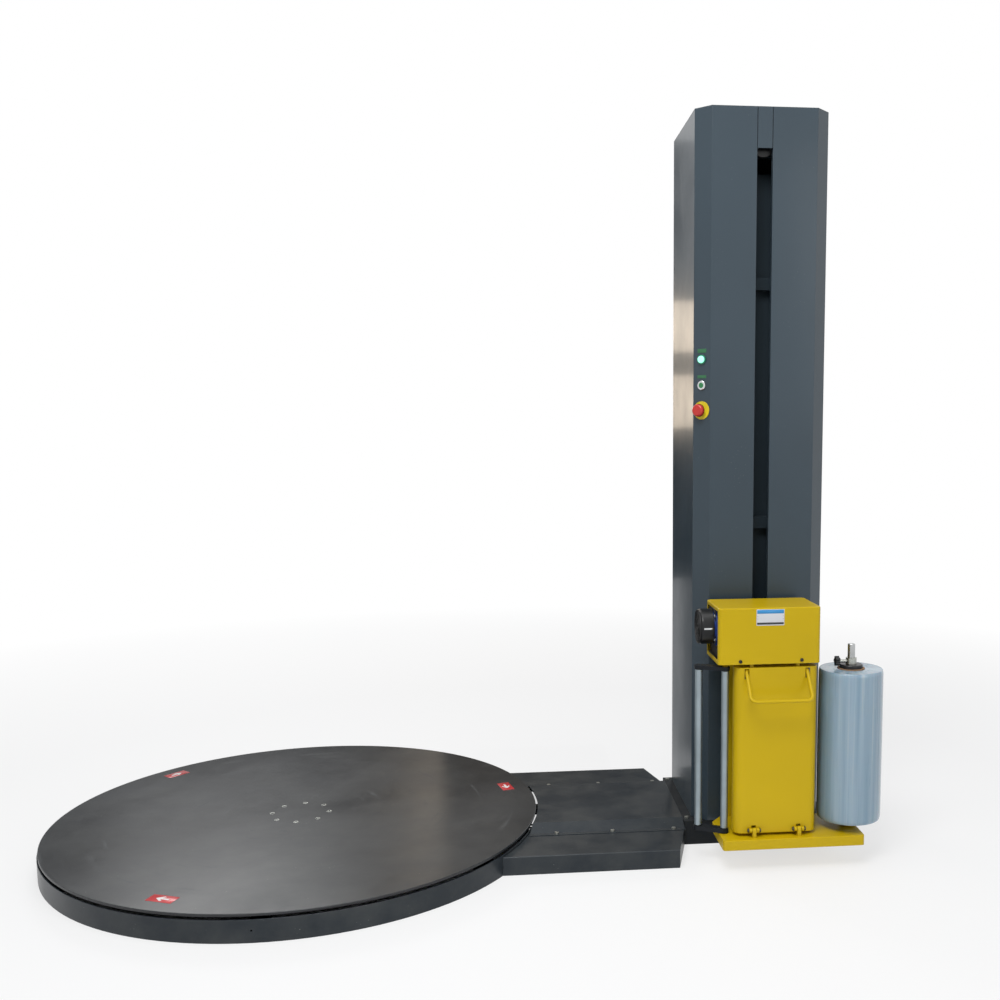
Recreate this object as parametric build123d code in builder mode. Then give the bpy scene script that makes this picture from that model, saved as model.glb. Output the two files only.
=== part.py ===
"""Turntable pallet wrapper: a low turntable, a bridge, a slotted mast and a film carriage.

Millimetres, +Z up. The origin is on the turntable's axis, at floor level. +X runs along the
machine from the turntable to the mast, and the carriage hangs on the mast's -Y face.
"""
from build123d import *
import os
from math import acos, atan2, cos, hypot, pi, radians, sin, sqrt, tan

os.makedirs("parts", exist_ok=True)

# ---------------------------------------------------------------- driving dimensions
RUN = 0.05            # radial clearance of a shaft in its hole
GAP = 0.3             # clearance between faces that pass or seat without touching

# turntable and its base
TABLE_RADIUS = 825.0
TABLE_TOP = 85.0
TABLE_PLATE = 8.0
SKIRT_HEIGHT = 68.0
SKIRT_OVERHANG = 3.0  # the skirt stands this far outside the turntable's edge
SKIRT_SHEET = 4.0
TUNNEL_HALF = 205.0   # half width of the gap in the skirt for the chain and the beams
HUB_PLATE_RADIUS = 130.0
HUB_PLATE = 8.0
SPOKE_WIDTH = 50.0
SPOKE_TOP = 24.0
POST_RADIUS = 30.0
HUB_RADIUS = 60.0

# support wheels under the turntable
WHEEL_COUNT = 6
WHEEL_CIRCLE = 640.0
WHEEL_RADIUS = 22.0
WHEEL_WIDTH = 28.0
WHEEL_PIN_RADIUS = 5.0
FORK_PLATE = 4.0

# chain drive of the turntable
CHAIN_PITCH = 15.875
TABLE_TEETH = 72
DRIVE_TEETH = 17
CHAIN_LEVEL = 37.5    # mid height of the sprockets and the chain
SPROCKET_THICKNESS = 7.0
DRIVE_X = 1440.0
DRIVE_SHAFT_RADIUS = 12.0

# bridge between turntable and mast
BRIDGE_HALF = 440.0
BRIDGE_TOP = 61.0
BRIDGE_CORNER_X = 1276.0
BRIDGE_SHEET = 3.0
COVER_HALF_TOP = 200.0
COVER_HALF_BOTTOM = 245.0
COVER_TOP = 84.0
COVER_SHEET = 4.0
COVER_GAP = 7.0       # between the turntable's edge and the cover

# mast foot and mast
FOOT_X0 = 1325.0
FOOT_X1 = 1830.0
FOOT_HALF = 241.0
FOOT_SHEET = 5.0
MAST_CENTRE_X = 1578.0
MAST_HALF_WIDTH = 222.0
MAST_FRONT = -244.0
MAST_BACK = 213.0
MAST_TOP = 2446.0
MAST_CHAMFER = 48.0
MAST_SHEET = 3.0
SLOT_HALF = 26.0
SLOT_LIP = 20.0
BACK_LIP = 40.0
STRIP_BOTTOM = 2317.0
STRIP_SEAM = 2.0

# guide rails, lift belt and trolley
RAIL_OFFSET = 114.0   # from the mast's middle to a rail's outer face
RAIL_SHEET = 4.0
RAIL_DEPTH = 34.0     # along X
RAIL_Y = -176.0
RAIL_INNER = 45.0     # clear width between a rail's flanges
RAIL_TOP = 2400.0
TROLLEY_WHEEL_WIDTH = 22.0
TROLLEY_AXLE_RADIUS = 8.0
TROLLEY_LEVELS = (340.0, 620.0)
NECK_HALF = 20.0
NECK_Z = (330.0, 640.0)
PULLEY_RADIUS = 36.0
PULLEY_Y = (-218.0, -204.0)
TOP_PULLEY_Z = 2330.0
BOTTOM_PULLEY_Z = 200.0
BELT_THICKNESS = 3.0

# carriage
TRAY_X0 = 1404.0
TRAY_X1 = 1870.0
TRAY_FRONT = -509.0
TRAY_BACK = -279.0
TRAY_BOTTOM = 77.0
TRAY_TOP = 110.0
TRAY_SHEET = 3.0
SPINE_SHEET = 6.0
BOX_X0 = 1388.0
BOX_X1 = 1719.0
BOX_FRONT = -483.0
BOX_BOTTOM = 677.0
BOX_TOP = 858.0
BOX_CORNER = 13.0
BOX_SHEET = 3.0
BEARING_PLATE_Z = 680.0

# stretch rollers behind the door, geared together inside the motor box
GEAR_MODULE = 2.0
FAST_TEETH = 30
SLOW_TEETH = 44
GEAR_THICKNESS = 14.0
FAST_ROLLER_X = 1530.0
STRETCH_Y = -385.0
STRETCH_RADIUS = 35.0
STRETCH_SHAFT_RADIUS = 12.0
ROLLER_Z = (130.0, 640.0)

# door with its lifting handle
DOOR_X0 = 1446.0
DOOR_X1 = 1716.0
DOOR_FRONT = -477.0
DOOR_Z0 = 120.0
DOOR_Z1 = 665.0
DOOR_DEPTH = 45.0
DOOR_CORNER = 27.0
DOOR_SHEET = 3.0
HINGE_Y = -485.0
HINGE_Z = 133.0
HINGE_XS = (1509.0, 1657.0)
HINGE_PIN_RADIUS = 4.0
HINGE_PIN_HALF = 18.0
DOOR_ROLLER_RADIUS = 14.0
DOOR_ROLLER_X = 1567.0
DOOR_ROLLER_Y = -450.0
HANDLE_XS = (1482.0, 1680.0)
HANDLE_ROD_RADIUS = 5.7
HANDLE_PIVOT_Z = 655.0
HANDLE_REACH = 78.0   # how far the bar stands out from its pivot
HANDLE_DROP = 85.0
HANDLE_BEND = 19.0      # bend radius beside the bar

# guide and dancer rollers
GUIDE_X, GUIDE_Y = 1421.0, -433.0
DANCER_X, DANCER_Y = 1342.0, -395.0
FILM_ROLLER_RADIUS = 12.2
FILM_ROLLER_Z = (128.0, 648.0)
ARM_HALF_WIDTH = 15.0
DANCER_AXLE_RADIUS = 6.0
PIVOT_RADIUS = 8.0

# film roll on its mandrel
ROLL_X, ROLL_Y = 1846.0, -405.0
ROLL_RADIUS = 105.0
ROLL_Z = (141.0, 640.0)
CORE_OUTER = 44.0
CORE_INNER = 38.0
MANDREL_RADIUS = 12.0
MANDREL_TOP = 721.0
FLANGE_RADIUS = 37.5
FLANGE_TOP = 654.0
FLANGE_COLLAR_RADIUS = 17.5
KNOB_ROD_RADIUS = 5.5

# controls on the mast's left chamfer
LAMP_Z = 1646.0
BUTTON_Z = 1562.0
ESTOP_Z = 1480.0
PANEL_HOLE_RADIUS = 11.0

# ---------------------------------------------------------------- worked out from those
SKIRT_RADIUS = TABLE_RADIUS + SKIRT_OVERHANG
TABLE_UNDERSIDE = TABLE_TOP - TABLE_PLATE
WHEEL_AXIS_Z = TABLE_UNDERSIDE - GAP - WHEEL_RADIUS
WHEEL_ANGLES = [360 / WHEEL_COUNT * (n + 0.5) for n in range(WHEEL_COUNT)]
TABLE_PITCH_RADIUS = CHAIN_PITCH / (2 * sin(pi / TABLE_TEETH))
DRIVE_PITCH_RADIUS = CHAIN_PITCH / (2 * sin(pi / DRIVE_TEETH))
MAST_X0 = MAST_CENTRE_X - MAST_HALF_WIDTH
MAST_X1 = MAST_CENTRE_X + MAST_HALF_WIDTH
MAST_SHELL_TOP = MAST_TOP - MAST_SHEET
RAIL_FRONT = RAIL_Y - RAIL_INNER / 2 - RAIL_SHEET
RAIL_BACK = RAIL_Y + RAIL_INNER / 2 + RAIL_SHEET
TROLLEY_WHEEL_RADIUS = RAIL_INNER / 2 - GAP
SPINE_BACK = TRAY_BACK
SPINE_FRONT = SPINE_BACK - SPINE_SHEET
SLOW_ROLLER_X = FAST_ROLLER_X + GEAR_MODULE * (FAST_TEETH + SLOW_TEETH) / 2
GEAR_Z0 = BEARING_PLATE_Z + SPINE_SHEET + 6
DOOR_BACK = DOOR_FRONT + DOOR_DEPTH
FLANGE_BOTTOM = ROLL_Z[1] - 25


# ---------------------------------------------------------------- shape helpers
def block(x, y, z, mode=Mode.ADD):
    """A rectangular block between pairs of limits, joined to the piece being built."""
    with BuildSketch(Plane.XY.offset(z[0])) as face:
        with Locations(((x[0] + x[1]) / 2, (y[0] + y[1]) / 2)):
            Rectangle(x[1] - x[0], y[1] - y[0])
    extrude(face.sketch, amount=z[1] - z[0], mode=mode)


def upright(x, y, radius, z, mode=Mode.ADD):
    """An upright cylinder at (x, y), joined to the piece being built."""
    with BuildSketch(Plane.XY.offset(z[0])) as face:
        with Locations((x, y)):
            Circle(radius)
    extrude(face.sketch, amount=z[1] - z[0], mode=mode)


def rod_x(y, z, radius, x, mode=Mode.ADD):
    """A cylinder along X between two limits."""
    with BuildSketch(Plane.YZ.offset(x[0])) as face:
        with Locations((y, z)):
            Circle(radius)
    extrude(face.sketch, amount=x[1] - x[0], mode=mode)


def rod_y(x, z, radius, y, mode=Mode.ADD):
    """A cylinder along Y between two limits."""
    with BuildSketch(Plane(origin=(x, y[0], z), x_dir=(1, 0, 0), z_dir=(0, 1, 0))) as face:
        Circle(radius)
    extrude(face.sketch, amount=y[1] - y[0], mode=mode)


def outline(points, z, mode=Mode.ADD):
    """A prism on a plan outline given by its corners."""
    with BuildSketch(Plane.XY.offset(z[0])) as face:
        with BuildLine():
            Polyline(*points, close=True)
        make_face()
    extrude(face.sketch, amount=z[1] - z[0], mode=mode)


def folded_sheet(points, thickness, z):
    """An upright folded sheet: a polyline in plan, thickened towards its left side."""
    with BuildSketch(Plane.XY.offset(z[0])) as face:
        with BuildLine():
            Polyline(*points)
            offset(amount=thickness, kind=Kind.INTERSECTION, side=Side.LEFT)
        make_face()
    extrude(face.sketch, amount=z[1] - z[0])


def rounded_box(x, y, corner, z, mode=Mode.ADD):
    """An upright box with rounded vertical corners."""
    with BuildSketch(Plane.XY.offset(z[0])) as face:
        with Locations(((x[0] + x[1]) / 2, (y[0] + y[1]) / 2)):
            RectangleRounded(x[1] - x[0], y[1] - y[0], corner)
    extrude(face.sketch, amount=z[1] - z[0], mode=mode)


def involute_point(base, radius, start):
    """A point at the given radius on the involute that leaves the base circle at angle start."""
    roll = acos(base / radius)
    angle = start + tan(roll) - roll
    return radius * cos(angle), radius * sin(angle)


def gear_outline(teeth, module, backlash=0.25):
    """Corner points of an involute spur gear, with a tooth centred on +X."""
    pitch = module * teeth / 2
    base = pitch * cos(radians(20))
    tip = pitch + 0.9 * module
    root = pitch - 1.25 * module
    half = (pi * module / 2 - backlash) / (2 * pitch) + tan(radians(20)) - radians(20)
    flank = [involute_point(base, base + (tip - base) * k / 4, -half) for k in range(5)]
    flank.insert(0, (root * cos(-half), root * sin(-half)))
    tooth = flank + [(x, -y) for x, y in reversed(flank)]
    points = []
    for n in range(teeth):
        turn = 2 * pi * n / teeth
        points += [(x * cos(turn) - y * sin(turn), x * sin(turn) + y * cos(turn)) for x, y in tooth]
    return points


def sprocket_outline(teeth, pitch_radius):
    """Corner points of a chain sprocket with plain tapered teeth."""
    points = []
    for n in range(teeth):
        for share, radius in ((-0.36, -4.5), (-0.12, 3.5), (0.12, 3.5), (0.36, -4.5)):
            angle = 2 * pi * (n + share) / teeth
            reach = pitch_radius + radius
            points.append((reach * cos(angle), reach * sin(angle)))
    return points


def chamfer_plane(z):
    """The outer face of the mast's left front chamfer, at height z."""
    middle = MAST_CHAMFER / 2
    return Plane(origin=(MAST_X0 + middle, MAST_FRONT + middle, z), x_dir=(1, -1, 0), z_dir=(-1, -1, 0))


# ---------------------------------------------------------------- base under the turntable
with BuildPart() as base_ring:
    with BuildSketch(Plane.XZ) as skirt_section:
        with BuildLine():
            Polyline((SKIRT_RADIUS - 34, 0), (SKIRT_RADIUS, 0), (SKIRT_RADIUS, SKIRT_HEIGHT),
                     (SKIRT_RADIUS - SKIRT_SHEET, SKIRT_HEIGHT), (SKIRT_RADIUS - SKIRT_SHEET, SKIRT_SHEET),
                     (SKIRT_RADIUS - 34, SKIRT_SHEET), close=True)
        make_face()
    revolve(axis=Axis.Z)
    block((SKIRT_RADIUS / 2, SKIRT_RADIUS + 20), (-TUNNEL_HALF, TUNNEL_HALF), (-1, SKIRT_HEIGHT + 1),
          Mode.SUBTRACT)
    rod_y(0, SKIRT_HEIGHT / 2 + 2, 3, (-SKIRT_RADIUS - 5, -SKIRT_RADIUS + 20), Mode.SUBTRACT)
base_ring.part.label = "base_ring"
export_step(base_ring.part, "parts/base_ring.step")

with BuildPart() as base_frame:
    upright(0, 0, HUB_PLATE_RADIUS, (0, HUB_PLATE))
    upright(0, 0, HUB_RADIUS, (HUB_PLATE, 28))
    with BuildSketch(Plane.XY.offset(SKIRT_SHEET)) as spokes:
        with PolarLocations(0, WHEEL_COUNT, start_angle=WHEEL_ANGLES[0]):
            Rectangle(SKIRT_RADIUS - 20, SPOKE_WIDTH, align=(Align.MIN, Align.CENTER))
    extrude(amount=SPOKE_TOP - SKIRT_SHEET)
    for side in (-1, 1):
        block((0, FOOT_X1 - FOOT_SHEET - 60), (side * 130 - 25, side * 130 + 25), (SKIRT_SHEET, SPOKE_TOP))
    upright(0, 0, POST_RADIUS, (HUB_PLATE, TABLE_UNDERSIDE - 1))
    for x in (SKIRT_RADIUS + 60, (SKIRT_RADIUS + BRIDGE_CORNER_X) / 2, BRIDGE_CORNER_X - 45):
        block((x - 20, x + 20), (-BRIDGE_HALF + BRIDGE_SHEET, BRIDGE_HALF - BRIDGE_SHEET),
              (0, SPOKE_TOP))
base_frame.part.label = "base_frame"
export_step(base_frame.part, "parts/base_frame.step")

with BuildPart() as wheel_forks:
    cheek_inner = WHEEL_WIDTH / 2 + 2
    for angle in WHEEL_ANGLES:
        radial = Plane(origin=(0, 0, 0), x_dir=(cos(radians(angle)), sin(radians(angle)), 0), z_dir=(0, 0, 1))
        with BuildSketch(radial.offset(SPOKE_TOP)) as fork_foot:
            with Locations((WHEEL_CIRCLE, 0)):
                Rectangle(2 * (cheek_inner + FORK_PLATE) + 16, SPOKE_WIDTH - 6)
        extrude(fork_foot.sketch, amount=FORK_PLATE)
        for side in (-1, 1):
            start = WHEEL_CIRCLE + side * (cheek_inner + FORK_PLATE / 2) - FORK_PLATE / 2
            cheek = Plane(origin=radial.from_local_coords((start, 0, WHEEL_AXIS_Z)),
                          x_dir=radial.y_dir, z_dir=radial.x_dir)
            drop = WHEEL_AXIS_Z - SPOKE_TOP - FORK_PLATE / 2
            with BuildSketch(cheek) as cheek_face:
                Circle(11)
                with Locations((0, -drop / 2)):
                    Rectangle(22, drop)
            extrude(cheek_face.sketch, amount=FORK_PLATE)
        pin_end = radial.from_local_coords((WHEEL_CIRCLE - cheek_inner - FORK_PLATE - 4, 0, WHEEL_AXIS_Z))
        pin = Plane(origin=pin_end, x_dir=radial.y_dir, z_dir=radial.x_dir)
        with BuildSketch(pin) as pin_face:
            Circle(WHEEL_PIN_RADIUS)
        extrude(pin_face.sketch, amount=2 * (cheek_inner + FORK_PLATE + 4))
wheel_forks.part.label = "wheel_forks"
export_step(wheel_forks.part, "parts/wheel_forks.step")

for number, angle in enumerate(WHEEL_ANGLES, 1):
    towards_rim = (cos(radians(angle)), sin(radians(angle)), 0)
    inner_end = WHEEL_CIRCLE - WHEEL_WIDTH / 2
    face_plane = Plane(origin=(inner_end * towards_rim[0], inner_end * towards_rim[1], WHEEL_AXIS_Z),
                       x_dir=(0, 0, 1), z_dir=towards_rim)
    with BuildPart() as wheel:
        with BuildSketch(face_plane):
            Circle(WHEEL_RADIUS)
            Circle(WHEEL_PIN_RADIUS + RUN, mode=Mode.SUBTRACT)
        extrude(amount=WHEEL_WIDTH)
        chamfer(wheel.edges().filter_by(GeomType.CIRCLE).group_by(SortBy.RADIUS)[-1], 1.5)
        with BuildSketch(face_plane.offset(-1.5)):
            Circle(9)
            Circle(WHEEL_PIN_RADIUS + RUN, mode=Mode.SUBTRACT)
        extrude(amount=WHEEL_WIDTH + 3)
    wheel.part.label = f"support_wheel_{number}"
    export_step(wheel.part, f"parts/support_wheel_{number}.step")

# ---------------------------------------------------------------- turntable and its chain drive
with BuildPart() as turntable_plate:
    upright(0, 0, TABLE_RADIUS, (TABLE_UNDERSIDE, TABLE_TOP))
    chamfer(turntable_plate.edges().group_by(Axis.Z)[-1], 1.5)
    for radius, width, depth in ((590, 10, 9), (230, 10, 9), (765, 8, 7)):
        with BuildSketch(Plane.XY.offset(TABLE_UNDERSIDE - depth)) as hoop:
            Circle(radius)
            Circle(radius - width, mode=Mode.SUBTRACT)
        extrude(hoop.sketch, amount=depth)
    with BuildSketch(Plane.XY.offset(TABLE_UNDERSIDE - 9)) as ribs:
        with PolarLocations(224, 12):
            Rectangle(590 - 228, 8, align=(Align.MIN, Align.CENTER))
    extrude(ribs.sketch, amount=9)
turntable_plate.part.label = "turntable_plate"
export_step(turntable_plate.part, "parts/turntable_plate.step")

with BuildPart() as table_sprocket:
    with BuildSketch(Plane.XY.offset(CHAIN_LEVEL - SPROCKET_THICKNESS / 2)) as sprocket_face:
        with BuildLine():
            Polyline(*sprocket_outline(TABLE_TEETH, TABLE_PITCH_RADIUS), close=True)
        make_face()
        with PolarLocations(115, 6):
            Circle(32, mode=Mode.SUBTRACT)
    extrude(amount=SPROCKET_THICKNESS)
    upright(0, 0, HUB_RADIUS, (28 + GAP, TABLE_UNDERSIDE))
    upright(0, 0, POST_RADIUS + RUN, (0, TABLE_UNDERSIDE), Mode.SUBTRACT)
table_sprocket.part.label = "table_sprocket"
export_step(table_sprocket.part, "parts/table_sprocket.step")

with BuildPart() as drive_sprocket:
    with BuildSketch(Plane(origin=(DRIVE_X, 0, CHAIN_LEVEL - SPROCKET_THICKNESS / 2))):
        with BuildLine():
            Polyline(*sprocket_outline(DRIVE_TEETH, DRIVE_PITCH_RADIUS), close=True)
        make_face()
    extrude(amount=SPROCKET_THICKNESS)
    upright(DRIVE_X, 0, 24, (CHAIN_LEVEL, 66))
    upright(DRIVE_X, 0, DRIVE_SHAFT_RADIUS, (CHAIN_LEVEL - 12, FOOT_SHEET + 130))
drive_sprocket.part.label = "drive_sprocket"
export_step(drive_sprocket.part, "parts/drive_sprocket.step")

with BuildPart() as drive_chain:
    plate_half = SPROCKET_THICKNESS / 2 + 0.5
    for level in (CHAIN_LEVEL - plate_half - 2, CHAIN_LEVEL + plate_half):
        with BuildSketch(mode=Mode.PRIVATE) as inside:
            Circle(TABLE_PITCH_RADIUS - 7)
            with Locations((DRIVE_X, 0)):
                Circle(DRIVE_PITCH_RADIUS - 7)
            make_hull()
        with BuildSketch(Plane.XY.offset(level)) as plates:
            Circle(TABLE_PITCH_RADIUS + 7)
            with Locations((DRIVE_X, 0)):
                Circle(DRIVE_PITCH_RADIUS + 7)
            make_hull()
            add(inside.sketch, mode=Mode.SUBTRACT)
        extrude(plates.sketch, amount=2)
    lean = acos((TABLE_PITCH_RADIUS - DRIVE_PITCH_RADIUS) / DRIVE_X)
    run_length = sqrt(DRIVE_X ** 2 - (TABLE_PITCH_RADIUS - DRIVE_PITCH_RADIUS) ** 2)
    pin_count = int((run_length - 140) / (3 * CHAIN_PITCH))
    for side in (-1, 1):
        start = (TABLE_PITCH_RADIUS * cos(lean), side * TABLE_PITCH_RADIUS * sin(lean))
        step = (sin(lean), -side * cos(lean))
        for n in range(pin_count + 1):
            along = 70 + 3 * CHAIN_PITCH * n
            upright(start[0] + along * step[0], start[1] + along * step[1], 3,
                    (CHAIN_LEVEL - plate_half - 1, CHAIN_LEVEL + plate_half + 1))
drive_chain.part.label = "drive_chain"
export_step(drive_chain.part, "parts/drive_chain.step")

with BuildPart() as table_gearmotor:
    motor_foot = COVER_TOP
    block((DRIVE_X - 60, DRIVE_X + 60), (-60, 60), (motor_foot, motor_foot + 100))
    upright(DRIVE_X, 0, 52, (motor_foot + 100, motor_foot + 280))
    for n in range(9):
        upright(DRIVE_X, 0, 56, (motor_foot + 116 + 14 * n, motor_foot + 120 + 14 * n))
    upright(DRIVE_X, 0, 58, (motor_foot + 245, motor_foot + 292))
    upright(DRIVE_X, 0, DRIVE_SHAFT_RADIUS + RUN, (motor_foot - 1, motor_foot + 60), Mode.SUBTRACT)
table_gearmotor.part.label = "table_gearmotor"
export_step(table_gearmotor.part, "parts/table_gearmotor.step")


# ---------------------------------------------------------------- bridge and mast foot
def bridge_wing(side):
    """One folded side plate of the bridge, between the skirt and the mast foot."""
    ring = SKIRT_RADIUS + 1
    inner, outer = COVER_HALF_TOP + 5, BRIDGE_HALF
    ring_inner = (sqrt(ring ** 2 - inner ** 2), side * inner)
    ring_outer = (sqrt(ring ** 2 - outer ** 2), side * outer)
    middle_angle = (atan2(inner, ring_inner[0]) + atan2(outer, ring_outer[0])) / 2
    ring_middle = (ring * cos(middle_angle), side * ring * sin(middle_angle))
    heel = (FOOT_X0 - GAP, side * (FOOT_HALF + 3))
    with BuildPart() as wing:
        with BuildSketch() as plan:
            with BuildLine():
                ThreePointArc(ring_outer, ring_middle, ring_inner)
                Polyline(ring_inner, (heel[0], side * inner), heel,
                         (BRIDGE_CORNER_X, side * outer), ring_outer)
            make_face()
        extrude(amount=BRIDGE_TOP)
        front_edges = wing.edges().filter_by(Axis.X).group_by(Axis.Z)[-1].sort_by(Axis.Y)
        fillet(front_edges[0] if side < 0 else front_edges[-1], 4)
        slope = hypot(heel[0] - BRIDGE_CORNER_X, outer - FOOT_HALF - 3) / (outer - FOOT_HALF - 3)
        end_shift = BRIDGE_SHEET * slope
        wall = outer - BRIDGE_SHEET
        wall_corner = BRIDGE_CORNER_X + (heel[0] - BRIDGE_CORNER_X) * BRIDGE_SHEET / (outer - FOOT_HALF - 3)
        outline([(ring_outer[0] - 100, side * (inner - 10)), (ring_outer[0] - 100, side * wall),
                 (wall_corner - end_shift, side * wall), (heel[0] - end_shift, heel[1]),
                 (heel[0] - end_shift, side * (inner - 10))], (-1, BRIDGE_TOP - BRIDGE_SHEET), Mode.SUBTRACT)
    return wing.part


front_wing = bridge_wing(-1)
front_wing.label = "bridge_front_wing"
export_step(front_wing, "parts/bridge_front_wing.step")

back_wing = bridge_wing(1)
back_wing.label = "bridge_back_wing"
export_step(back_wing, "parts/bridge_back_wing.step")

with BuildPart() as chain_cover:
    cover_start = TABLE_RADIUS + COVER_GAP
    cover_foot = COVER_HALF_BOTTOM + 20
    lip_top = BRIDGE_TOP + COVER_SHEET / 2
    with BuildSketch(Plane.YZ.offset(TABLE_RADIUS - 60)) as cover_section:
        with BuildLine():
            Polyline((-cover_foot, BRIDGE_TOP), (-COVER_HALF_BOTTOM + 3, BRIDGE_TOP),
                     (-COVER_HALF_TOP + 2, COVER_TOP - COVER_SHEET),
                     (COVER_HALF_TOP - 2, COVER_TOP - COVER_SHEET),
                     (COVER_HALF_BOTTOM - 3, BRIDGE_TOP), (cover_foot, BRIDGE_TOP),
                     (cover_foot, lip_top), (COVER_HALF_BOTTOM, lip_top),
                     (COVER_HALF_TOP, COVER_TOP), (-COVER_HALF_TOP, COVER_TOP),
                     (-COVER_HALF_BOTTOM, lip_top), (-cover_foot, lip_top), close=True)
        make_face()
    extrude(amount=FOOT_X0 - TABLE_RADIUS + 60 - GAP)
    upright(0, 0, cover_start, (BRIDGE_TOP - 1, COVER_TOP + 1), Mode.SUBTRACT)
chain_cover.part.label = "chain_cover"
export_step(chain_cover.part, "parts/chain_cover.step")

with BuildPart() as mast_foot:
    block((FOOT_X0, FOOT_X1), (-FOOT_HALF, FOOT_HALF), (0, COVER_TOP))
    fillet(mast_foot.edges().filter_by(Axis.X).group_by(Axis.Z)[-1], 3)
    block((FOOT_X0 - 1, FOOT_X1 - FOOT_SHEET), (FOOT_SHEET - FOOT_HALF, FOOT_HALF - FOOT_SHEET),
          (SKIRT_SHEET, COVER_TOP - FOOT_SHEET), Mode.SUBTRACT)
    upright(DRIVE_X, 0, 26, (COVER_TOP - FOOT_SHEET - 1, COVER_TOP + 1), Mode.SUBTRACT)
mast_foot.part.label = "mast_foot"
export_step(mast_foot.part, "parts/mast_foot.step")


# ---------------------------------------------------------------- mast
def mast_half(side):
    """Plan corners of one side of the mast's folded skin, from the slot's lip to the back lip."""
    def place(across, y):
        return MAST_CENTRE_X + side * across, y

    return [place(SLOT_HALF, MAST_FRONT + SLOT_LIP), place(SLOT_HALF, MAST_FRONT),
            place(MAST_HALF_WIDTH - MAST_CHAMFER, MAST_FRONT),
            place(MAST_HALF_WIDTH, MAST_FRONT + MAST_CHAMFER),
            place(MAST_HALF_WIDTH, MAST_BACK), place(MAST_HALF_WIDTH - BACK_LIP, MAST_BACK)]


def panel_hole(z, radius):
    """A round hole through the left front chamfer's sheet."""
    with BuildSketch(chamfer_plane(z).offset(2)) as face:
        Circle(radius)
    extrude(face.sketch, amount=-10, mode=Mode.SUBTRACT)


with BuildPart() as mast_left_shell:
    folded_sheet(mast_half(-1)[::-1], MAST_SHEET, (COVER_TOP, MAST_SHELL_TOP))
    for height in (LAMP_Z, BUTTON_Z, ESTOP_Z):
        panel_hole(height, PANEL_HOLE_RADIUS)
mast_left_shell.part.label = "mast_left_shell"
export_step(mast_left_shell.part, "parts/mast_left_shell.step")

with BuildPart() as mast_right_shell:
    folded_sheet(mast_half(1), MAST_SHEET, (COVER_TOP, MAST_SHELL_TOP))
mast_right_shell.part.label = "mast_right_shell"
export_step(mast_right_shell.part, "parts/mast_right_shell.step")

PANEL_Z = (120.0, 2400.0)
PANEL_HALF = MAST_HALF_WIDTH - 10
with BuildPart() as mast_back_panel:
    block((MAST_CENTRE_X - PANEL_HALF, MAST_CENTRE_X + PANEL_HALF),
          (MAST_BACK, MAST_BACK + MAST_SHEET), PANEL_Z)
    rod_y(MAST_CENTRE_X + 110, 220, 12.5, (MAST_BACK - 1, MAST_BACK + MAST_SHEET + 1), Mode.SUBTRACT)
mast_back_panel.part.label = "mast_back_panel"
export_step(mast_back_panel.part, "parts/mast_back_panel.step")

with BuildPart() as mast_cap:
    cap_corner = MAST_HALF_WIDTH - MAST_CHAMFER
    cap_points = [(MAST_CENTRE_X - cap_corner, MAST_FRONT), (MAST_CENTRE_X + cap_corner, MAST_FRONT),
                  (MAST_X1, MAST_FRONT + MAST_CHAMFER), (MAST_X1, MAST_BACK),
                  (MAST_X0, MAST_BACK), (MAST_X0, MAST_FRONT + MAST_CHAMFER)]
    outline(cap_points, (MAST_SHELL_TOP, MAST_TOP))
    lip = MAST_SHEET + 2
    for edge_y in ((MAST_BACK - lip - MAST_SHEET, MAST_BACK - lip), (-100, -100 + MAST_SHEET)):
        block((MAST_X0 + lip, MAST_X1 - lip), edge_y, (MAST_SHELL_TOP - 25, MAST_SHELL_TOP))
mast_cap.part.label = "mast_cap"
export_step(mast_cap.part, "parts/mast_cap.step")

with BuildPart() as slot_strip:
    strip_half = SLOT_HALF - STRIP_SEAM
    strip_z = (STRIP_BOTTOM, MAST_SHELL_TOP)
    lip_back = MAST_FRONT + SLOT_LIP
    block((MAST_CENTRE_X - strip_half, MAST_CENTRE_X + strip_half), (MAST_FRONT, lip_back + 3), strip_z)
    block((MAST_CENTRE_X - strip_half + 3, MAST_CENTRE_X + strip_half - 3), (MAST_FRONT + 3, lip_back + 4),
          (STRIP_BOTTOM - 1, MAST_SHELL_TOP - 3), Mode.SUBTRACT)
    for side in (-1, 1):
        block(sorted((MAST_CENTRE_X + side * (strip_half - 1), MAST_CENTRE_X + side * (SLOT_HALF + 12))),
              (lip_back, lip_back + 2), strip_z)
slot_strip.part.label = "slot_strip"
export_step(slot_strip.part, "parts/slot_strip.step")

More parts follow.
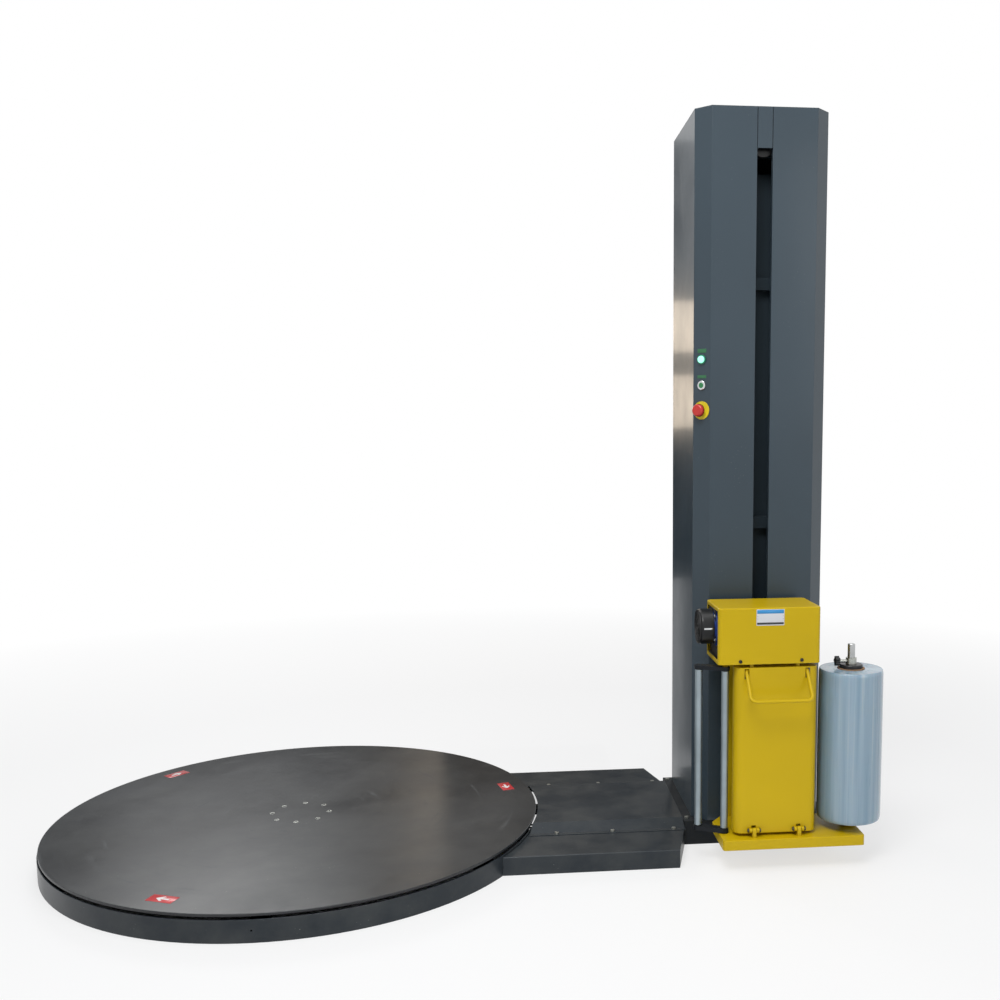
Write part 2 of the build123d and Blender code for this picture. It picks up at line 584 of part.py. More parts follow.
BEAM_LEVELS = (300.0, 1100.0, 1900.0, TOP_PULLEY_Z)
BEAM_DEPTH = 30.0
BEAM_HALF_HEIGHT = 20.0
with BuildPart() as rail_frame:
    for side in (-1, 1):
        across = sorted((MAST_CENTRE_X + side * RAIL_OFFSET,
                         MAST_CENTRE_X + side * (RAIL_OFFSET - RAIL_DEPTH)))
        hollow = sorted((MAST_CENTRE_X + side * (RAIL_OFFSET - RAIL_SHEET),
                         MAST_CENTRE_X + side * (RAIL_OFFSET - RAIL_DEPTH - 1)))
        block(across, (RAIL_FRONT, RAIL_BACK), (COVER_TOP, RAIL_TOP))
        block(hollow, (RAIL_FRONT + RAIL_SHEET, RAIL_BACK - RAIL_SHEET), (COVER_TOP - 1, RAIL_TOP + 1),
              Mode.SUBTRACT)
    for level in BEAM_LEVELS:
        block((MAST_X0 + MAST_SHEET, MAST_X1 - MAST_SHEET), (RAIL_BACK, RAIL_BACK + BEAM_DEPTH),
              (level - BEAM_HALF_HEIGHT, level + BEAM_HALF_HEIGHT))
    column_y = (RAIL_BACK + BEAM_DEPTH, RAIL_BACK + BEAM_DEPTH + 60)
    block((MAST_CENTRE_X - 60, MAST_CENTRE_X + 60), column_y, (BEAM_LEVELS[0] - BEAM_HALF_HEIGHT, 2262))
    block((MAST_CENTRE_X - 56, MAST_CENTRE_X + 56), (column_y[0] + 4, column_y[1] + 1),
          (BEAM_LEVELS[0] - BEAM_HALF_HEIGHT - 1, 2263), Mode.SUBTRACT)
    rod_y(MAST_CENTRE_X, TOP_PULLEY_Z, 8, (PULLEY_Y[0], RAIL_BACK + 1))
    rod_y(MAST_CENTRE_X, TOP_PULLEY_Z, 14, (PULLEY_Y[1] + GAP, RAIL_BACK + 1))
rail_frame.part.label = "rail_frame"
export_step(rail_frame.part, "parts/rail_frame.step")

with BuildPart() as lift_gearmotor:
    gearbox_front = PULLEY_Y[1] + 5
    block((MAST_CENTRE_X - 55, MAST_CENTRE_X + 55), (gearbox_front, -100),
          (BOTTOM_PULLEY_Z - 55, BOTTOM_PULLEY_Z + 55))
    rod_y(MAST_CENTRE_X, BOTTOM_PULLEY_Z, 48, (-100, 80))
    for n in range(8):
        rod_y(MAST_CENTRE_X, BOTTOM_PULLEY_Z, 52, (-88 + 14 * n, -84 + 14 * n))
    rod_y(MAST_CENTRE_X, BOTTOM_PULLEY_Z, 54, (35, 92))
    block((MAST_CENTRE_X - 50, MAST_CENTRE_X + 50), (gearbox_front + 4, -104),
          (COVER_TOP, BOTTOM_PULLEY_Z - 50))
    rod_y(MAST_CENTRE_X, BOTTOM_PULLEY_Z, 10 + RUN, (gearbox_front - 1, gearbox_front + 50), Mode.SUBTRACT)
lift_gearmotor.part.label = "lift_gearmotor"
export_step(lift_gearmotor.part, "parts/lift_gearmotor.step")


def belt_pulley(z, bore):
    """A flat belt pulley turning about Y."""
    with BuildPart() as pulley:
        rod_y(MAST_CENTRE_X, z, PULLEY_RADIUS - GAP, PULLEY_Y)
        if bore:
            rod_y(MAST_CENTRE_X, z, bore, (PULLEY_Y[0] - 1, PULLEY_Y[1] + 1), Mode.SUBTRACT)
        else:
            rod_y(MAST_CENTRE_X, z, 10, (PULLEY_Y[1] - 1, gearbox_front + 40))
    return pulley.part


top_pulley = belt_pulley(TOP_PULLEY_Z, 8 + RUN)
top_pulley.label = "top_pulley"
export_step(top_pulley, "parts/top_pulley.step")

bottom_pulley = belt_pulley(BOTTOM_PULLEY_Z, 0)
bottom_pulley.label = "bottom_pulley"
export_step(bottom_pulley, "parts/bottom_pulley.step")

with BuildPart() as lift_belt:
    belt_y = (PULLEY_Y[0] + 1, PULLEY_Y[1] - 1)
    belt_plane = Plane(origin=(MAST_CENTRE_X, belt_y[0], 0), x_dir=(1, 0, 0), z_dir=(0, 1, 0))
    pulley_span = TOP_PULLEY_Z - BOTTOM_PULLEY_Z
    with BuildSketch(belt_plane):
        with Locations((0, -(TOP_PULLEY_Z + BOTTOM_PULLEY_Z) / 2)):
            outer_radius = PULLEY_RADIUS + BELT_THICKNESS
            SlotCenterToCenter(pulley_span, 2 * outer_radius, rotation=90)
            SlotCenterToCenter(pulley_span, 2 * PULLEY_RADIUS, rotation=90, mode=Mode.SUBTRACT)
    extrude(amount=belt_y[1] - belt_y[0])
lift_belt.part.label = "lift_belt"
export_step(lift_belt.part, "parts/lift_belt.step")

with BuildPart() as electrics_box:
    block((MAST_X0 + MAST_SHEET, MAST_X0 + 150), (-40, 170), (1300, 1750))
    fillet(electrics_box.edges().filter_by(Axis.Z), 6)
electrics_box.part.label = "electrics_box"
export_step(electrics_box.part, "parts/electrics_box.step")

with BuildPart() as cable_gland:
    gland_x, gland_z, gland_y = MAST_CENTRE_X + 110, 220, MAST_BACK + MAST_SHEET
    hexagon = Plane(origin=(gland_x, gland_y, gland_z), x_dir=(1, 0, 0), z_dir=(0, 1, 0))
    with BuildSketch(hexagon):
        RegularPolygon(17, 6)
    extrude(amount=10)
    rod_y(gland_x, gland_z, 14, (gland_y + 10, gland_y + 26))
    rod_y(gland_x, gland_z, 12, (gland_y - 12, gland_y))
    rod_y(gland_x, gland_z, 6, (gland_y - 13, gland_y + 27), Mode.SUBTRACT)
cable_gland.part.label = "cable_gland"
export_step(cable_gland.part, "parts/cable_gland.step")

# ---------------------------------------------------------------- controls on the chamfer
with BuildPart() as power_lamp:
    with BuildSketch(chamfer_plane(LAMP_Z)):
        Circle(15)
    extrude(amount=3)
    with BuildSketch(chamfer_plane(LAMP_Z).offset(3)):
        Circle(12)
    extrude(amount=9)
    fillet(power_lamp.faces().sort_by(Axis((0, 0, 0), (-1, -1, 0)))[-1].edges(), 5)
    with BuildSketch(chamfer_plane(LAMP_Z)):
        Circle(PANEL_HOLE_RADIUS - RUN)
    extrude(amount=-30)
power_lamp.part.label = "power_lamp"
export_step(power_lamp.part, "parts/power_lamp.step")

with BuildPart() as button_bezel:
    with BuildSketch(chamfer_plane(BUTTON_Z)):
        Circle(15.5)
    extrude(amount=5)
    chamfer(button_bezel.faces().sort_by(Axis((0, 0, 0), (-1, -1, 0)))[-1].edges(), 1.5)
    with BuildSketch(chamfer_plane(BUTTON_Z)):
        Circle(PANEL_HOLE_RADIUS - RUN)
    extrude(amount=-34)
    with BuildSketch(chamfer_plane(BUTTON_Z).offset(6)):
        Circle(9 + RUN)
    extrude(amount=-26, mode=Mode.SUBTRACT)
button_bezel.part.label = "button_bezel"
export_step(button_bezel.part, "parts/button_bezel.step")

with BuildPart() as start_button:
    with BuildSketch(chamfer_plane(BUTTON_Z).offset(-12)):
        Circle(9)
    extrude(amount=18.5)
    fillet(start_button.faces().sort_by(Axis((0, 0, 0), (-1, -1, 0)))[-1].edges(), 1.5)
start_button.part.label = "start_button"
export_step(start_button.part, "parts/start_button.step")

with BuildPart() as estop_collar:
    with BuildSketch(chamfer_plane(ESTOP_Z)):
        Circle(30)
    extrude(amount=2)
    with BuildSketch(chamfer_plane(ESTOP_Z)):
        Circle(PANEL_HOLE_RADIUS - RUN)
    extrude(amount=-34)
    with BuildSketch(chamfer_plane(ESTOP_Z).offset(3)):
        Circle(8 + RUN)
    extrude(amount=-27, mode=Mode.SUBTRACT)
estop_collar.part.label = "estop_collar"
export_step(estop_collar.part, "parts/estop_collar.step")

with BuildPart() as estop_stem:
    with BuildSketch(chamfer_plane(ESTOP_Z).offset(-16)):
        Circle(8)
    extrude(amount=26)
    with BuildSketch(chamfer_plane(ESTOP_Z).offset(7)):
        Circle(14)
    extrude(amount=9)
    with BuildSketch(chamfer_plane(ESTOP_Z).offset(15)):
        Circle(5)
    extrude(amount=9)
estop_stem.part.label = "estop_stem"
export_step(estop_stem.part, "parts/estop_stem.step")

with BuildPart() as estop_head:
    with BuildSketch(chamfer_plane(ESTOP_Z).offset(16 + GAP)):
        Circle(20)
    extrude(amount=14)
    fillet(estop_head.faces().sort_by(Axis((0, 0, 0), (-1, -1, 0)))[-1].edges(), 6)
    with BuildSketch(chamfer_plane(ESTOP_Z).offset(16)):
        Circle(5 + RUN)
    extrude(amount=9, mode=Mode.SUBTRACT)
estop_head.part.label = "estop_head"
export_step(estop_head.part, "parts/estop_head.step")

# ---------------------------------------------------------------- carriage frame and motor box
PIVOT_TOP = FILM_ROLLER_Z[1] + 16
with BuildPart() as carriage_base:
    tray_points = [(TRAY_X0, TRAY_FRONT), (TRAY_X1, TRAY_FRONT), (TRAY_X1, -330), (BOX_X1 + 20, TRAY_BACK),
                   (TRAY_X0 + 36, TRAY_BACK), (TRAY_X0, TRAY_BACK - 48)]
    outline(tray_points, (TRAY_BOTTOM, TRAY_TOP))
    fillet(carriage_base.edges().filter_by(Axis.Z), 10)
    with BuildSketch(Plane.XY.offset(TRAY_BOTTOM)) as tray_hollow:
        add(offset(carriage_base.faces().sort_by(Axis.Z)[0], amount=-TRAY_SHEET, mode=Mode.PRIVATE))
    extrude(tray_hollow.sketch, amount=TRAY_TOP - TRAY_BOTTOM - TRAY_SHEET, mode=Mode.SUBTRACT)
    fillet(carriage_base.edges().group_by(Axis.Z)[-1], 2)
    for x, y, bore in ((FAST_ROLLER_X, STRETCH_Y, STRETCH_SHAFT_RADIUS),
                       (SLOW_ROLLER_X, STRETCH_Y, STRETCH_SHAFT_RADIUS),
                       (ROLL_X, ROLL_Y, MANDREL_RADIUS)):
        upright(x, y, bore + 10, (TRAY_TOP - TRAY_SHEET, TRAY_TOP + 6))
        upright(x, y, bore + RUN, (TRAY_BOTTOM, TRAY_TOP + 7), Mode.SUBTRACT)
    upright(GUIDE_X, GUIDE_Y, PIVOT_RADIUS, (TRAY_TOP - 1, PIVOT_TOP))
    for x in HINGE_XS:
        block((x - 6, x + 6), (HINGE_Y - 8, HINGE_Y + 8), (TRAY_TOP - 1, HINGE_Z))
        rod_x(HINGE_Y, HINGE_Z, 8, (x - 6, x + 6))
        rod_x(HINGE_Y, HINGE_Z, HINGE_PIN_RADIUS, (x - HINGE_PIN_HALF, x + HINGE_PIN_HALF))
carriage_base.part.label = "carriage_base"
export_step(carriage_base.part, "parts/carriage_base.step")

with BuildPart() as carriage_back:
    block((DOOR_X0, BOX_X1 - BOX_SHEET - 1), (SPINE_FRONT, SPINE_BACK), (TRAY_TOP, BOX_BOTTOM - 1))
    block((DOOR_X0, BOX_X1 - BOX_SHEET - 1), (SPINE_FRONT, SPINE_BACK), (BOX_BOTTOM - 2, BOX_TOP - 20))
    block((BOX_X0 + BOX_CORNER + 1, BOX_X1 - BOX_CORNER - 1), (BOX_FRONT + BOX_CORNER, SPINE_FRONT),
          (BEARING_PLATE_Z, BEARING_PLATE_Z + SPINE_SHEET))
    for x in (FAST_ROLLER_X, SLOW_ROLLER_X):
        upright(x, STRETCH_Y, STRETCH_SHAFT_RADIUS + RUN,
                (BEARING_PLATE_Z - 1, BEARING_PLATE_Z + SPINE_SHEET + 1), Mode.SUBTRACT)
carriage_back.part.label = "carriage_back"
export_step(carriage_back.part, "parts/carriage_back.step")

with BuildPart() as motor_box:
    box_back = SPINE_FRONT
    rounded_box((BOX_X0, BOX_X1), (BOX_FRONT, box_back), BOX_CORNER, (BOX_BOTTOM, BOX_TOP))
    fillet(motor_box.edges().group_by(Axis.Z)[-1], 4)
    rounded_box((BOX_X0 + BOX_SHEET, BOX_X1 - BOX_SHEET), (BOX_FRONT + BOX_SHEET, box_back - BOX_SHEET),
                BOX_CORNER - BOX_SHEET, (BOX_BOTTOM - 1, BOX_TOP - BOX_SHEET), Mode.SUBTRACT)
    block((BOX_X0 - 1, BOX_X0 + BOX_SHEET + 1), (BOX_FRONT + 16, box_back - 16),
          (BOX_BOTTOM + 12, BOX_TOP - 12), Mode.SUBTRACT)
    block((BOX_X0 + BOX_SHEET, BOX_X1 - BOX_SHEET), (box_back - BOX_SHEET - 1, box_back + 1),
          (BOX_BOTTOM - 1, BEARING_PLATE_Z + SPINE_SHEET + GAP), Mode.SUBTRACT)
motor_box.part.label = "motor_box"
export_step(motor_box.part, "parts/motor_box.step")

MOTOR_Y, MOTOR_Z = -385.0, 786.0
COWL_X = (BOX_X0 - 47, BOX_X0 - 4)
COWL_RADIUS = 57.0
COWL_SEAT = 2.0       # how far the cowl reaches over the motor's body
with BuildPart() as stretch_gearmotor:
    with BuildSketch(Plane.YZ.offset(BOX_X0 + 2)):
        with Locations((MOTOR_Y, MOTOR_Z)):
            RegularPolygon(64, 8, rotation=22.5)
    extrude(amount=12)
    rod_x(MOTOR_Y, MOTOR_Z, 50, (COWL_X[1] - COWL_SEAT, FAST_ROLLER_X - 60))
    block((FAST_ROLLER_X - 60, FAST_ROLLER_X + 45), (MOTOR_Y - 45, MOTOR_Y + 45),
          (GEAR_Z0 + GEAR_THICKNESS + 4, MOTOR_Z + 50))
    for side in (-1, 1):
        block((FAST_ROLLER_X - 55, FAST_ROLLER_X - 40), sorted((MOTOR_Y + side * 45, MOTOR_Y + side * 58)),
              (BEARING_PLATE_Z + SPINE_SHEET, MOTOR_Z))
    upright(FAST_ROLLER_X, STRETCH_Y, STRETCH_SHAFT_RADIUS + RUN, (GEAR_Z0, GEAR_Z0 + GEAR_THICKNESS + 44),
            Mode.SUBTRACT)
stretch_gearmotor.part.label = "stretch_gearmotor"
export_step(stretch_gearmotor.part, "parts/stretch_gearmotor.step")

with BuildPart() as motor_cowl:
    rod_x(MOTOR_Y, MOTOR_Z, COWL_RADIUS, COWL_X)
    fillet(motor_cowl.edges().group_by(Axis.X)[0], 8)
    rod_x(MOTOR_Y, MOTOR_Z, 50, (COWL_X[1] - COWL_SEAT, COWL_X[1] + 1), Mode.SUBTRACT)
    with BuildSketch(Plane.YZ.offset(COWL_X[0])) as vents:
        with Locations((MOTOR_Y, MOTOR_Z)):
            with PolarLocations(16, 12):
                SlotOverall(24, 5)
    extrude(vents.sketch, amount=10, mode=Mode.SUBTRACT)
motor_cowl.part.label = "motor_cowl"
export_step(motor_cowl.part, "parts/motor_cowl.step")

with BuildPart() as trolley_frame:
    block_half = RAIL_OFFSET - RAIL_DEPTH - 4
    block((MAST_CENTRE_X - block_half, MAST_CENTRE_X + block_half), (RAIL_Y - 16, RAIL_Y + 16),
          (TROLLEY_LEVELS[0] - 30, TROLLEY_LEVELS[1] + 30))
    block((MAST_CENTRE_X - 45, MAST_CENTRE_X + 45), (RAIL_Y - 17, RAIL_Y + 17),
          (TROLLEY_LEVELS[0] + 40, TROLLEY_LEVELS[1] - 40), Mode.SUBTRACT)
    block((MAST_CENTRE_X - NECK_HALF, MAST_CENTRE_X + NECK_HALF), (SPINE_BACK, RAIL_Y + 16), NECK_Z)
    block((MAST_CENTRE_X - 60, MAST_CENTRE_X + 60), (SPINE_BACK, SPINE_BACK + 10), NECK_Z)
    for level in TROLLEY_LEVELS:
        rod_x(RAIL_Y, level, TROLLEY_AXLE_RADIUS, (MAST_CENTRE_X - RAIL_OFFSET + RAIL_SHEET + 1,
                                                   MAST_CENTRE_X + RAIL_OFFSET - RAIL_SHEET - 1))
        rod_x(RAIL_Y, level, 13, (MAST_CENTRE_X - block_half - 7, MAST_CENTRE_X + block_half + 7))
    block((MAST_CENTRE_X - PULLEY_RADIUS + GAP, MAST_CENTRE_X - NECK_HALF + 1), PULLEY_Y, (470, 500))
trolley_frame.part.label = "trolley_frame"
export_step(trolley_frame.part, "parts/trolley_frame.step")

trolley_places = [(level, side) for level in TROLLEY_LEVELS for side in (-1, 1)]
for number, (level, side) in enumerate(trolley_places, 1):
    middle = MAST_CENTRE_X + side * (RAIL_OFFSET - RAIL_SHEET - 4 - TROLLEY_WHEEL_WIDTH / 2)
    reach = (middle - TROLLEY_WHEEL_WIDTH / 2, middle + TROLLEY_WHEEL_WIDTH / 2)
    with BuildPart() as roller:
        rod_x(RAIL_Y, level, TROLLEY_WHEEL_RADIUS, reach)
        chamfer(roller.edges().filter_by(GeomType.CIRCLE), 1.5)
        rod_x(RAIL_Y, level, TROLLEY_AXLE_RADIUS + RUN, (reach[0] - 1, reach[1] + 1), Mode.SUBTRACT)
    roller.part.label = f"trolley_wheel_{number}"
    export_step(roller.part, f"parts/trolley_wheel_{number}.step")


# ---------------------------------------------------------------- stretch rollers
def stretch_roller(x, teeth, phase, shaft_top):
    """A rubber-covered film roller on its shaft, with the gear that ties it to its neighbour."""
    with BuildPart() as piece:
        upright(x, STRETCH_Y, STRETCH_RADIUS, ROLLER_Z)
        chamfer(piece.edges().filter_by(GeomType.CIRCLE), 2)
        upright(x, STRETCH_Y, STRETCH_SHAFT_RADIUS, (TRAY_TOP - TRAY_SHEET, shaft_top))
        with BuildSketch(Plane(origin=(x, STRETCH_Y, GEAR_Z0))) as gear_face:
            with BuildLine():
                Polyline(*gear_outline(teeth, GEAR_MODULE), close=True)
            make_face()
        gear_turned = gear_face.sketch.rotate(Axis((x, STRETCH_Y, 0), (0, 0, 1)), phase)
        extrude(gear_turned, amount=GEAR_THICKNESS)
    return piece.part


fast_roller = stretch_roller(FAST_ROLLER_X, FAST_TEETH, 0, GEAR_Z0 + GEAR_THICKNESS + 40)
fast_roller.label = "fast_stretch_roller"
export_step(fast_roller, "parts/fast_stretch_roller.step")

slow_phase = 180 / SLOW_TEETH if SLOW_TEETH % 2 == 0 else 0
slow_roller = stretch_roller(SLOW_ROLLER_X, SLOW_TEETH, slow_phase, GEAR_Z0 + GEAR_THICKNESS)
slow_roller.label = "slow_stretch_roller"
export_step(slow_roller, "parts/slow_stretch_roller.step")

# ---------------------------------------------------------------- door, its roller and its handle
with BuildPart() as film_door:
    rounded_box((DOOR_X0, DOOR_X1), (DOOR_FRONT, DOOR_BACK + 2 * DOOR_CORNER), DOOR_CORNER,
                (DOOR_Z0, DOOR_Z1))
    block((DOOR_X0 - 1, DOOR_X1 + 1), (DOOR_BACK, DOOR_BACK + 2 * DOOR_CORNER + 1),
          (DOOR_Z0 - 1, DOOR_Z1 + 1), Mode.SUBTRACT)
    fillet(film_door.edges().filter_by(Axis.X).group_by(Axis.Y)[0], 1.5)
    rounded_box((DOOR_X0 + DOOR_SHEET, DOOR_X1 - DOOR_SHEET),
                (DOOR_FRONT + DOOR_SHEET, DOOR_BACK + 2 * DOOR_CORNER), DOOR_CORNER - DOOR_SHEET,
                (DOOR_Z0 + DOOR_SHEET, DOOR_Z1 - DOOR_SHEET), Mode.SUBTRACT)
    slot_half = HANDLE_ROD_RADIUS + 1.8
    for x in HANDLE_XS:
        block((x - slot_half, x + slot_half), (DOOR_FRONT - 1, DOOR_FRONT + DOOR_SHEET + 1),
              (HANDLE_PIVOT_Z - 27, HANDLE_PIVOT_Z + 6), Mode.SUBTRACT)
    for x in HINGE_XS:
        block((x - 7, x + 7), (DOOR_FRONT - 1, DOOR_FRONT + DOOR_SHEET + 8), (DOOR_Z0 - 1, HINGE_Z + 13),
              Mode.SUBTRACT)
        for side in (-1, 1):
            knuckle = sorted((x + side * 8, x + side * (HINGE_PIN_HALF - 2)))
            rod_x(HINGE_Y, HINGE_Z, 7, knuckle)
            block(knuckle, (HINGE_Y, DOOR_FRONT + 1), (HINGE_Z - 4, HINGE_Z + 4))
            rod_x(HINGE_Y, HINGE_Z, HINGE_PIN_RADIUS + RUN, (knuckle[0] - 1, knuckle[1] + 1), Mode.SUBTRACT)
    handle_y = DOOR_FRONT + DOOR_SHEET + 8
    for x, side in zip(HANDLE_XS, (1, -1)):
        bracket = sorted((x + side * 12, x + side * 18))
        block(bracket, (DOOR_FRONT + 1, handle_y + 8), (HANDLE_PIVOT_Z - 9, DOOR_Z1 - 1))
        rod_x(handle_y, HANDLE_PIVOT_Z, HANDLE_ROD_RADIUS + RUN, (bracket[0] - 1, bracket[1] + 1),
              Mode.SUBTRACT)
    upright(DOOR_ROLLER_X, DOOR_ROLLER_Y, 6, (DOOR_Z0 + 1, DOOR_Z1 - 1))
    for span in ((DOOR_Z0 + 1, ROLLER_Z[0] - 1), (ROLLER_Z[1] + 1, DOOR_Z1 - 1)):
        upright(DOOR_ROLLER_X, DOOR_ROLLER_Y, 9, span)
film_door.part.label = "film_door"
export_step(film_door.part, "parts/film_door.step")

with BuildPart() as door_roller:
    upright(DOOR_ROLLER_X, DOOR_ROLLER_Y, DOOR_ROLLER_RADIUS, ROLLER_Z)
    chamfer(door_roller.edges().filter_by(GeomType.CIRCLE), 1.5)
    upright(DOOR_ROLLER_X, DOOR_ROLLER_Y, 6 + RUN, (ROLLER_Z[0] - 1, ROLLER_Z[1] + 1), Mode.SUBTRACT)
door_roller.part.label = "door_roller"
export_step(door_roller.part, "parts/door_roller.step")

with BuildPart() as door_handle:
    left, right = HANDLE_XS
    bar_y, bar_z = handle_y - HANDLE_REACH, HANDLE_PIVOT_Z - HANDLE_DROP
    with BuildLine() as handle_path:
        FilletPolyline((left + 20, handle_y, HANDLE_PIVOT_Z), (left, handle_y, HANDLE_PIVOT_Z),
                       (left, bar_y, bar_z),
                       (right, bar_y, bar_z), (right, handle_y, HANDLE_PIVOT_Z),
                       (right - 20, handle_y, HANDLE_PIVOT_Z), radius=(7, HANDLE_BEND, HANDLE_BEND, 7))
    with BuildSketch(Plane(origin=handle_path.line @ 0, z_dir=handle_path.line % 0)):
        Circle(HANDLE_ROD_RADIUS)
    sweep()
door_handle.part.label = "door_handle"
export_step(door_handle.part, "parts/door_handle.step")


# ---------------------------------------------------------------- guide and dancer rollers
def film_roller(x, y, bore):
    """A plain aluminium tube that turns on a fixed shaft."""
    with BuildPart() as tube:
        upright(x, y, FILM_ROLLER_RADIUS, FILM_ROLLER_Z)
        chamfer(tube.edges().filter_by(GeomType.CIRCLE), 1)
        upright(x, y, bore + RUN, (FILM_ROLLER_Z[0] - 1, FILM_ROLLER_Z[1] + 1), Mode.SUBTRACT)
    return tube.part


guide_roller = film_roller(GUIDE_X, GUIDE_Y, PIVOT_RADIUS)
guide_roller.label = "guide_roller"
export_step(guide_roller, "parts/guide_roller.step")

dancer_roller = film_roller(DANCER_X, DANCER_Y, DANCER_AXLE_RADIUS)
dancer_roller.label = "dancer_roller"
export_step(dancer_roller, "parts/dancer_roller.step")

with BuildPart() as dancer_arm:
    arm_levels = ((TRAY_TOP + 2, FILM_ROLLER_Z[0] - 2), (FILM_ROLLER_Z[1] + 2, PIVOT_TOP - 2))
    for span in arm_levels:
        with BuildSketch(Plane.XY.offset(span[0])) as arm_face:
            with Locations((GUIDE_X, GUIDE_Y), (DANCER_X, DANCER_Y)):
                Circle(ARM_HALF_WIDTH)
            make_hull()
        extrude(arm_face.sketch, amount=span[1] - span[0])
        upright(GUIDE_X, GUIDE_Y, PIVOT_RADIUS + RUN, (span[0] - 1, span[1] + 1), Mode.SUBTRACT)
    upright(DANCER_X, DANCER_Y, DANCER_AXLE_RADIUS, (arm_levels[0][0] + 1, arm_levels[1][1] - 1))
dancer_arm.part.label = "dancer_arm"
export_step(dancer_arm.part, "parts/dancer_arm.step")

# ---------------------------------------------------------------- film roll
with BuildPart() as roll_mandrel:
    seat_z = TRAY_TOP + 6 + GAP
    upright(ROLL_X, ROLL_Y, MANDREL_RADIUS, (TRAY_TOP - TRAY_SHEET, MANDREL_TOP))
    chamfer(roll_mandrel.edges().group_by(Axis.Z)[-1], 2)
    upright(ROLL_X, ROLL_Y, CORE_INNER - 6, (seat_z, ROLL_Z[0] - 8))
    upright(ROLL_X, ROLL_Y, CORE_OUTER + 14, (ROLL_Z[0] - 8, ROLL_Z[0] - 2))
    upright(ROLL_X, ROLL_Y, CORE_INNER - GAP, (ROLL_Z[0] - 3, ROLL_Z[0] + 30))
roll_mandrel.part.label = "roll_mandrel"
export_step(roll_mandrel.part, "parts/roll_mandrel.step")

with BuildPart() as film_core:
    upright(ROLL_X, ROLL_Y, CORE_OUTER, (ROLL_Z[0] - 2, ROLL_Z[1] + 2))
    upright(ROLL_X, ROLL_Y, CORE_INNER, (ROLL_Z[0] - 3, ROLL_Z[1] + 3), Mode.SUBTRACT)
film_core.part.label = "film_core"
export_step(film_core.part, "parts/film_core.step")

with BuildPart() as film_roll:
    upright(ROLL_X, ROLL_Y, ROLL_RADIUS, ROLL_Z)
    fillet(film_roll.edges().filter_by(GeomType.CIRCLE), 2)
    upright(ROLL_X, ROLL_Y, CORE_OUTER, (ROLL_Z[0] - 1, ROLL_Z[1] + 1), Mode.SUBTRACT)
film_roll.part.label = "film_roll"
export_step(film_roll.part, "parts/film_roll.step")

KNOB_Z = FLANGE_TOP + 10
KNOB_X = (ROLL_X - FLANGE_RADIUS - 17, ROLL_X - FLANGE_RADIUS - 3)
with BuildPart() as roll_flange:
    upright(ROLL_X, ROLL_Y, FLANGE_RADIUS, (FLANGE_BOTTOM, FLANGE_TOP))
    fillet(roll_flange.edges().group_by(Axis.Z)[-1], 4)
    upright(ROLL_X, ROLL_Y, FLANGE_COLLAR_RADIUS, (FLANGE_TOP - 1, FLANGE_TOP + 21))
    upright(ROLL_X, ROLL_Y, MANDREL_RADIUS + RUN, (FLANGE_BOTTOM - 1, FLANGE_TOP + 22), Mode.SUBTRACT)
    rod_x(ROLL_Y, KNOB_Z, KNOB_ROD_RADIUS + RUN, (ROLL_X - FLANGE_RADIUS, ROLL_X), Mode.SUBTRACT)
roll_flange.part.label = "roll_flange"
export_step(roll_flange.part, "parts/roll_flange.step")

with BuildPart() as lock_knob:
    with BuildSketch(Plane.YZ.offset(KNOB_X[0])):
        with Locations((ROLL_Y, KNOB_Z)):
            Circle(13)
            with PolarLocations(12, 5):
                Circle(5)
    extrude(amount=KNOB_X[1] - KNOB_X[0])
    fillet(lock_knob.faces().sort_by(Axis.X)[0].edges(), 1.5)
    rod_x(ROLL_Y, KNOB_Z, KNOB_ROD_RADIUS, (KNOB_X[1] - 1, ROLL_X - MANDREL_RADIUS - GAP))
lock_knob.part.label = "lock_knob"
export_step(lock_knob.part, "parts/lock_knob.step")

# ---------------------------------------------------------------- screws, one node for all of them
with BuildPart() as cover_screws:
    foot_y = (COVER_HALF_BOTTOM + cover_foot) / 2
    for x in (TABLE_RADIUS + 60, (TABLE_RADIUS + FOOT_X0) / 2, FOOT_X0 - 40):
        for side in (-1, 1):
            with BuildSketch(Plane(origin=(x, side * foot_y, BRIDGE_TOP + COVER_SHEET / 2))) as head:
                RegularPolygon(7.5, 6)
            extrude(head.sketch, amount=5.5)
    for x, y in ((FOOT_X0 + 12, FOOT_HALF - 30), (FOOT_X0 + 12, 30 - FOOT_HALF),
                 (FOOT_X1 - 14, FOOT_HALF - 30), (FOOT_X1 - 14, 30 - FOOT_HALF)):
        with BuildSketch(Plane(origin=(x, y, COVER_TOP))) as head:
            RegularPolygon(7.5, 6)
        extrude(head.sketch, amount=5.5)
    for n in range(6):
        height = PANEL_Z[0] + 40 + n * (PANEL_Z[1] - PANEL_Z[0] - 80) / 5
        for side in (-1, 1):
            rod_y(MAST_CENTRE_X + side * (PANEL_HALF - 12), height, 6,
                  (MAST_BACK + MAST_SHEET, MAST_BACK + MAST_SHEET + 4))
cover_screws.part.label = "cover_screws"
export_step(cover_screws.part, "parts/cover_screws.step")
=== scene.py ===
# %% [markdown]
# # A turntable pallet wrapper
#
# This machine turns a loaded pallet on a low steel table while a carriage climbs a slotted mast and
# winds stretch film round the load. Every moving and load-bearing piece comes from the CAD frame, in
# metres, with the turntable's axis at the origin. Here it gets its finishes and its small fittings.
#
# The frame is loaded first. Nothing added later may grow past it.

# %% Load the frame
import math
import random

import bmesh
import bpy
from mathutils import Matrix, Vector


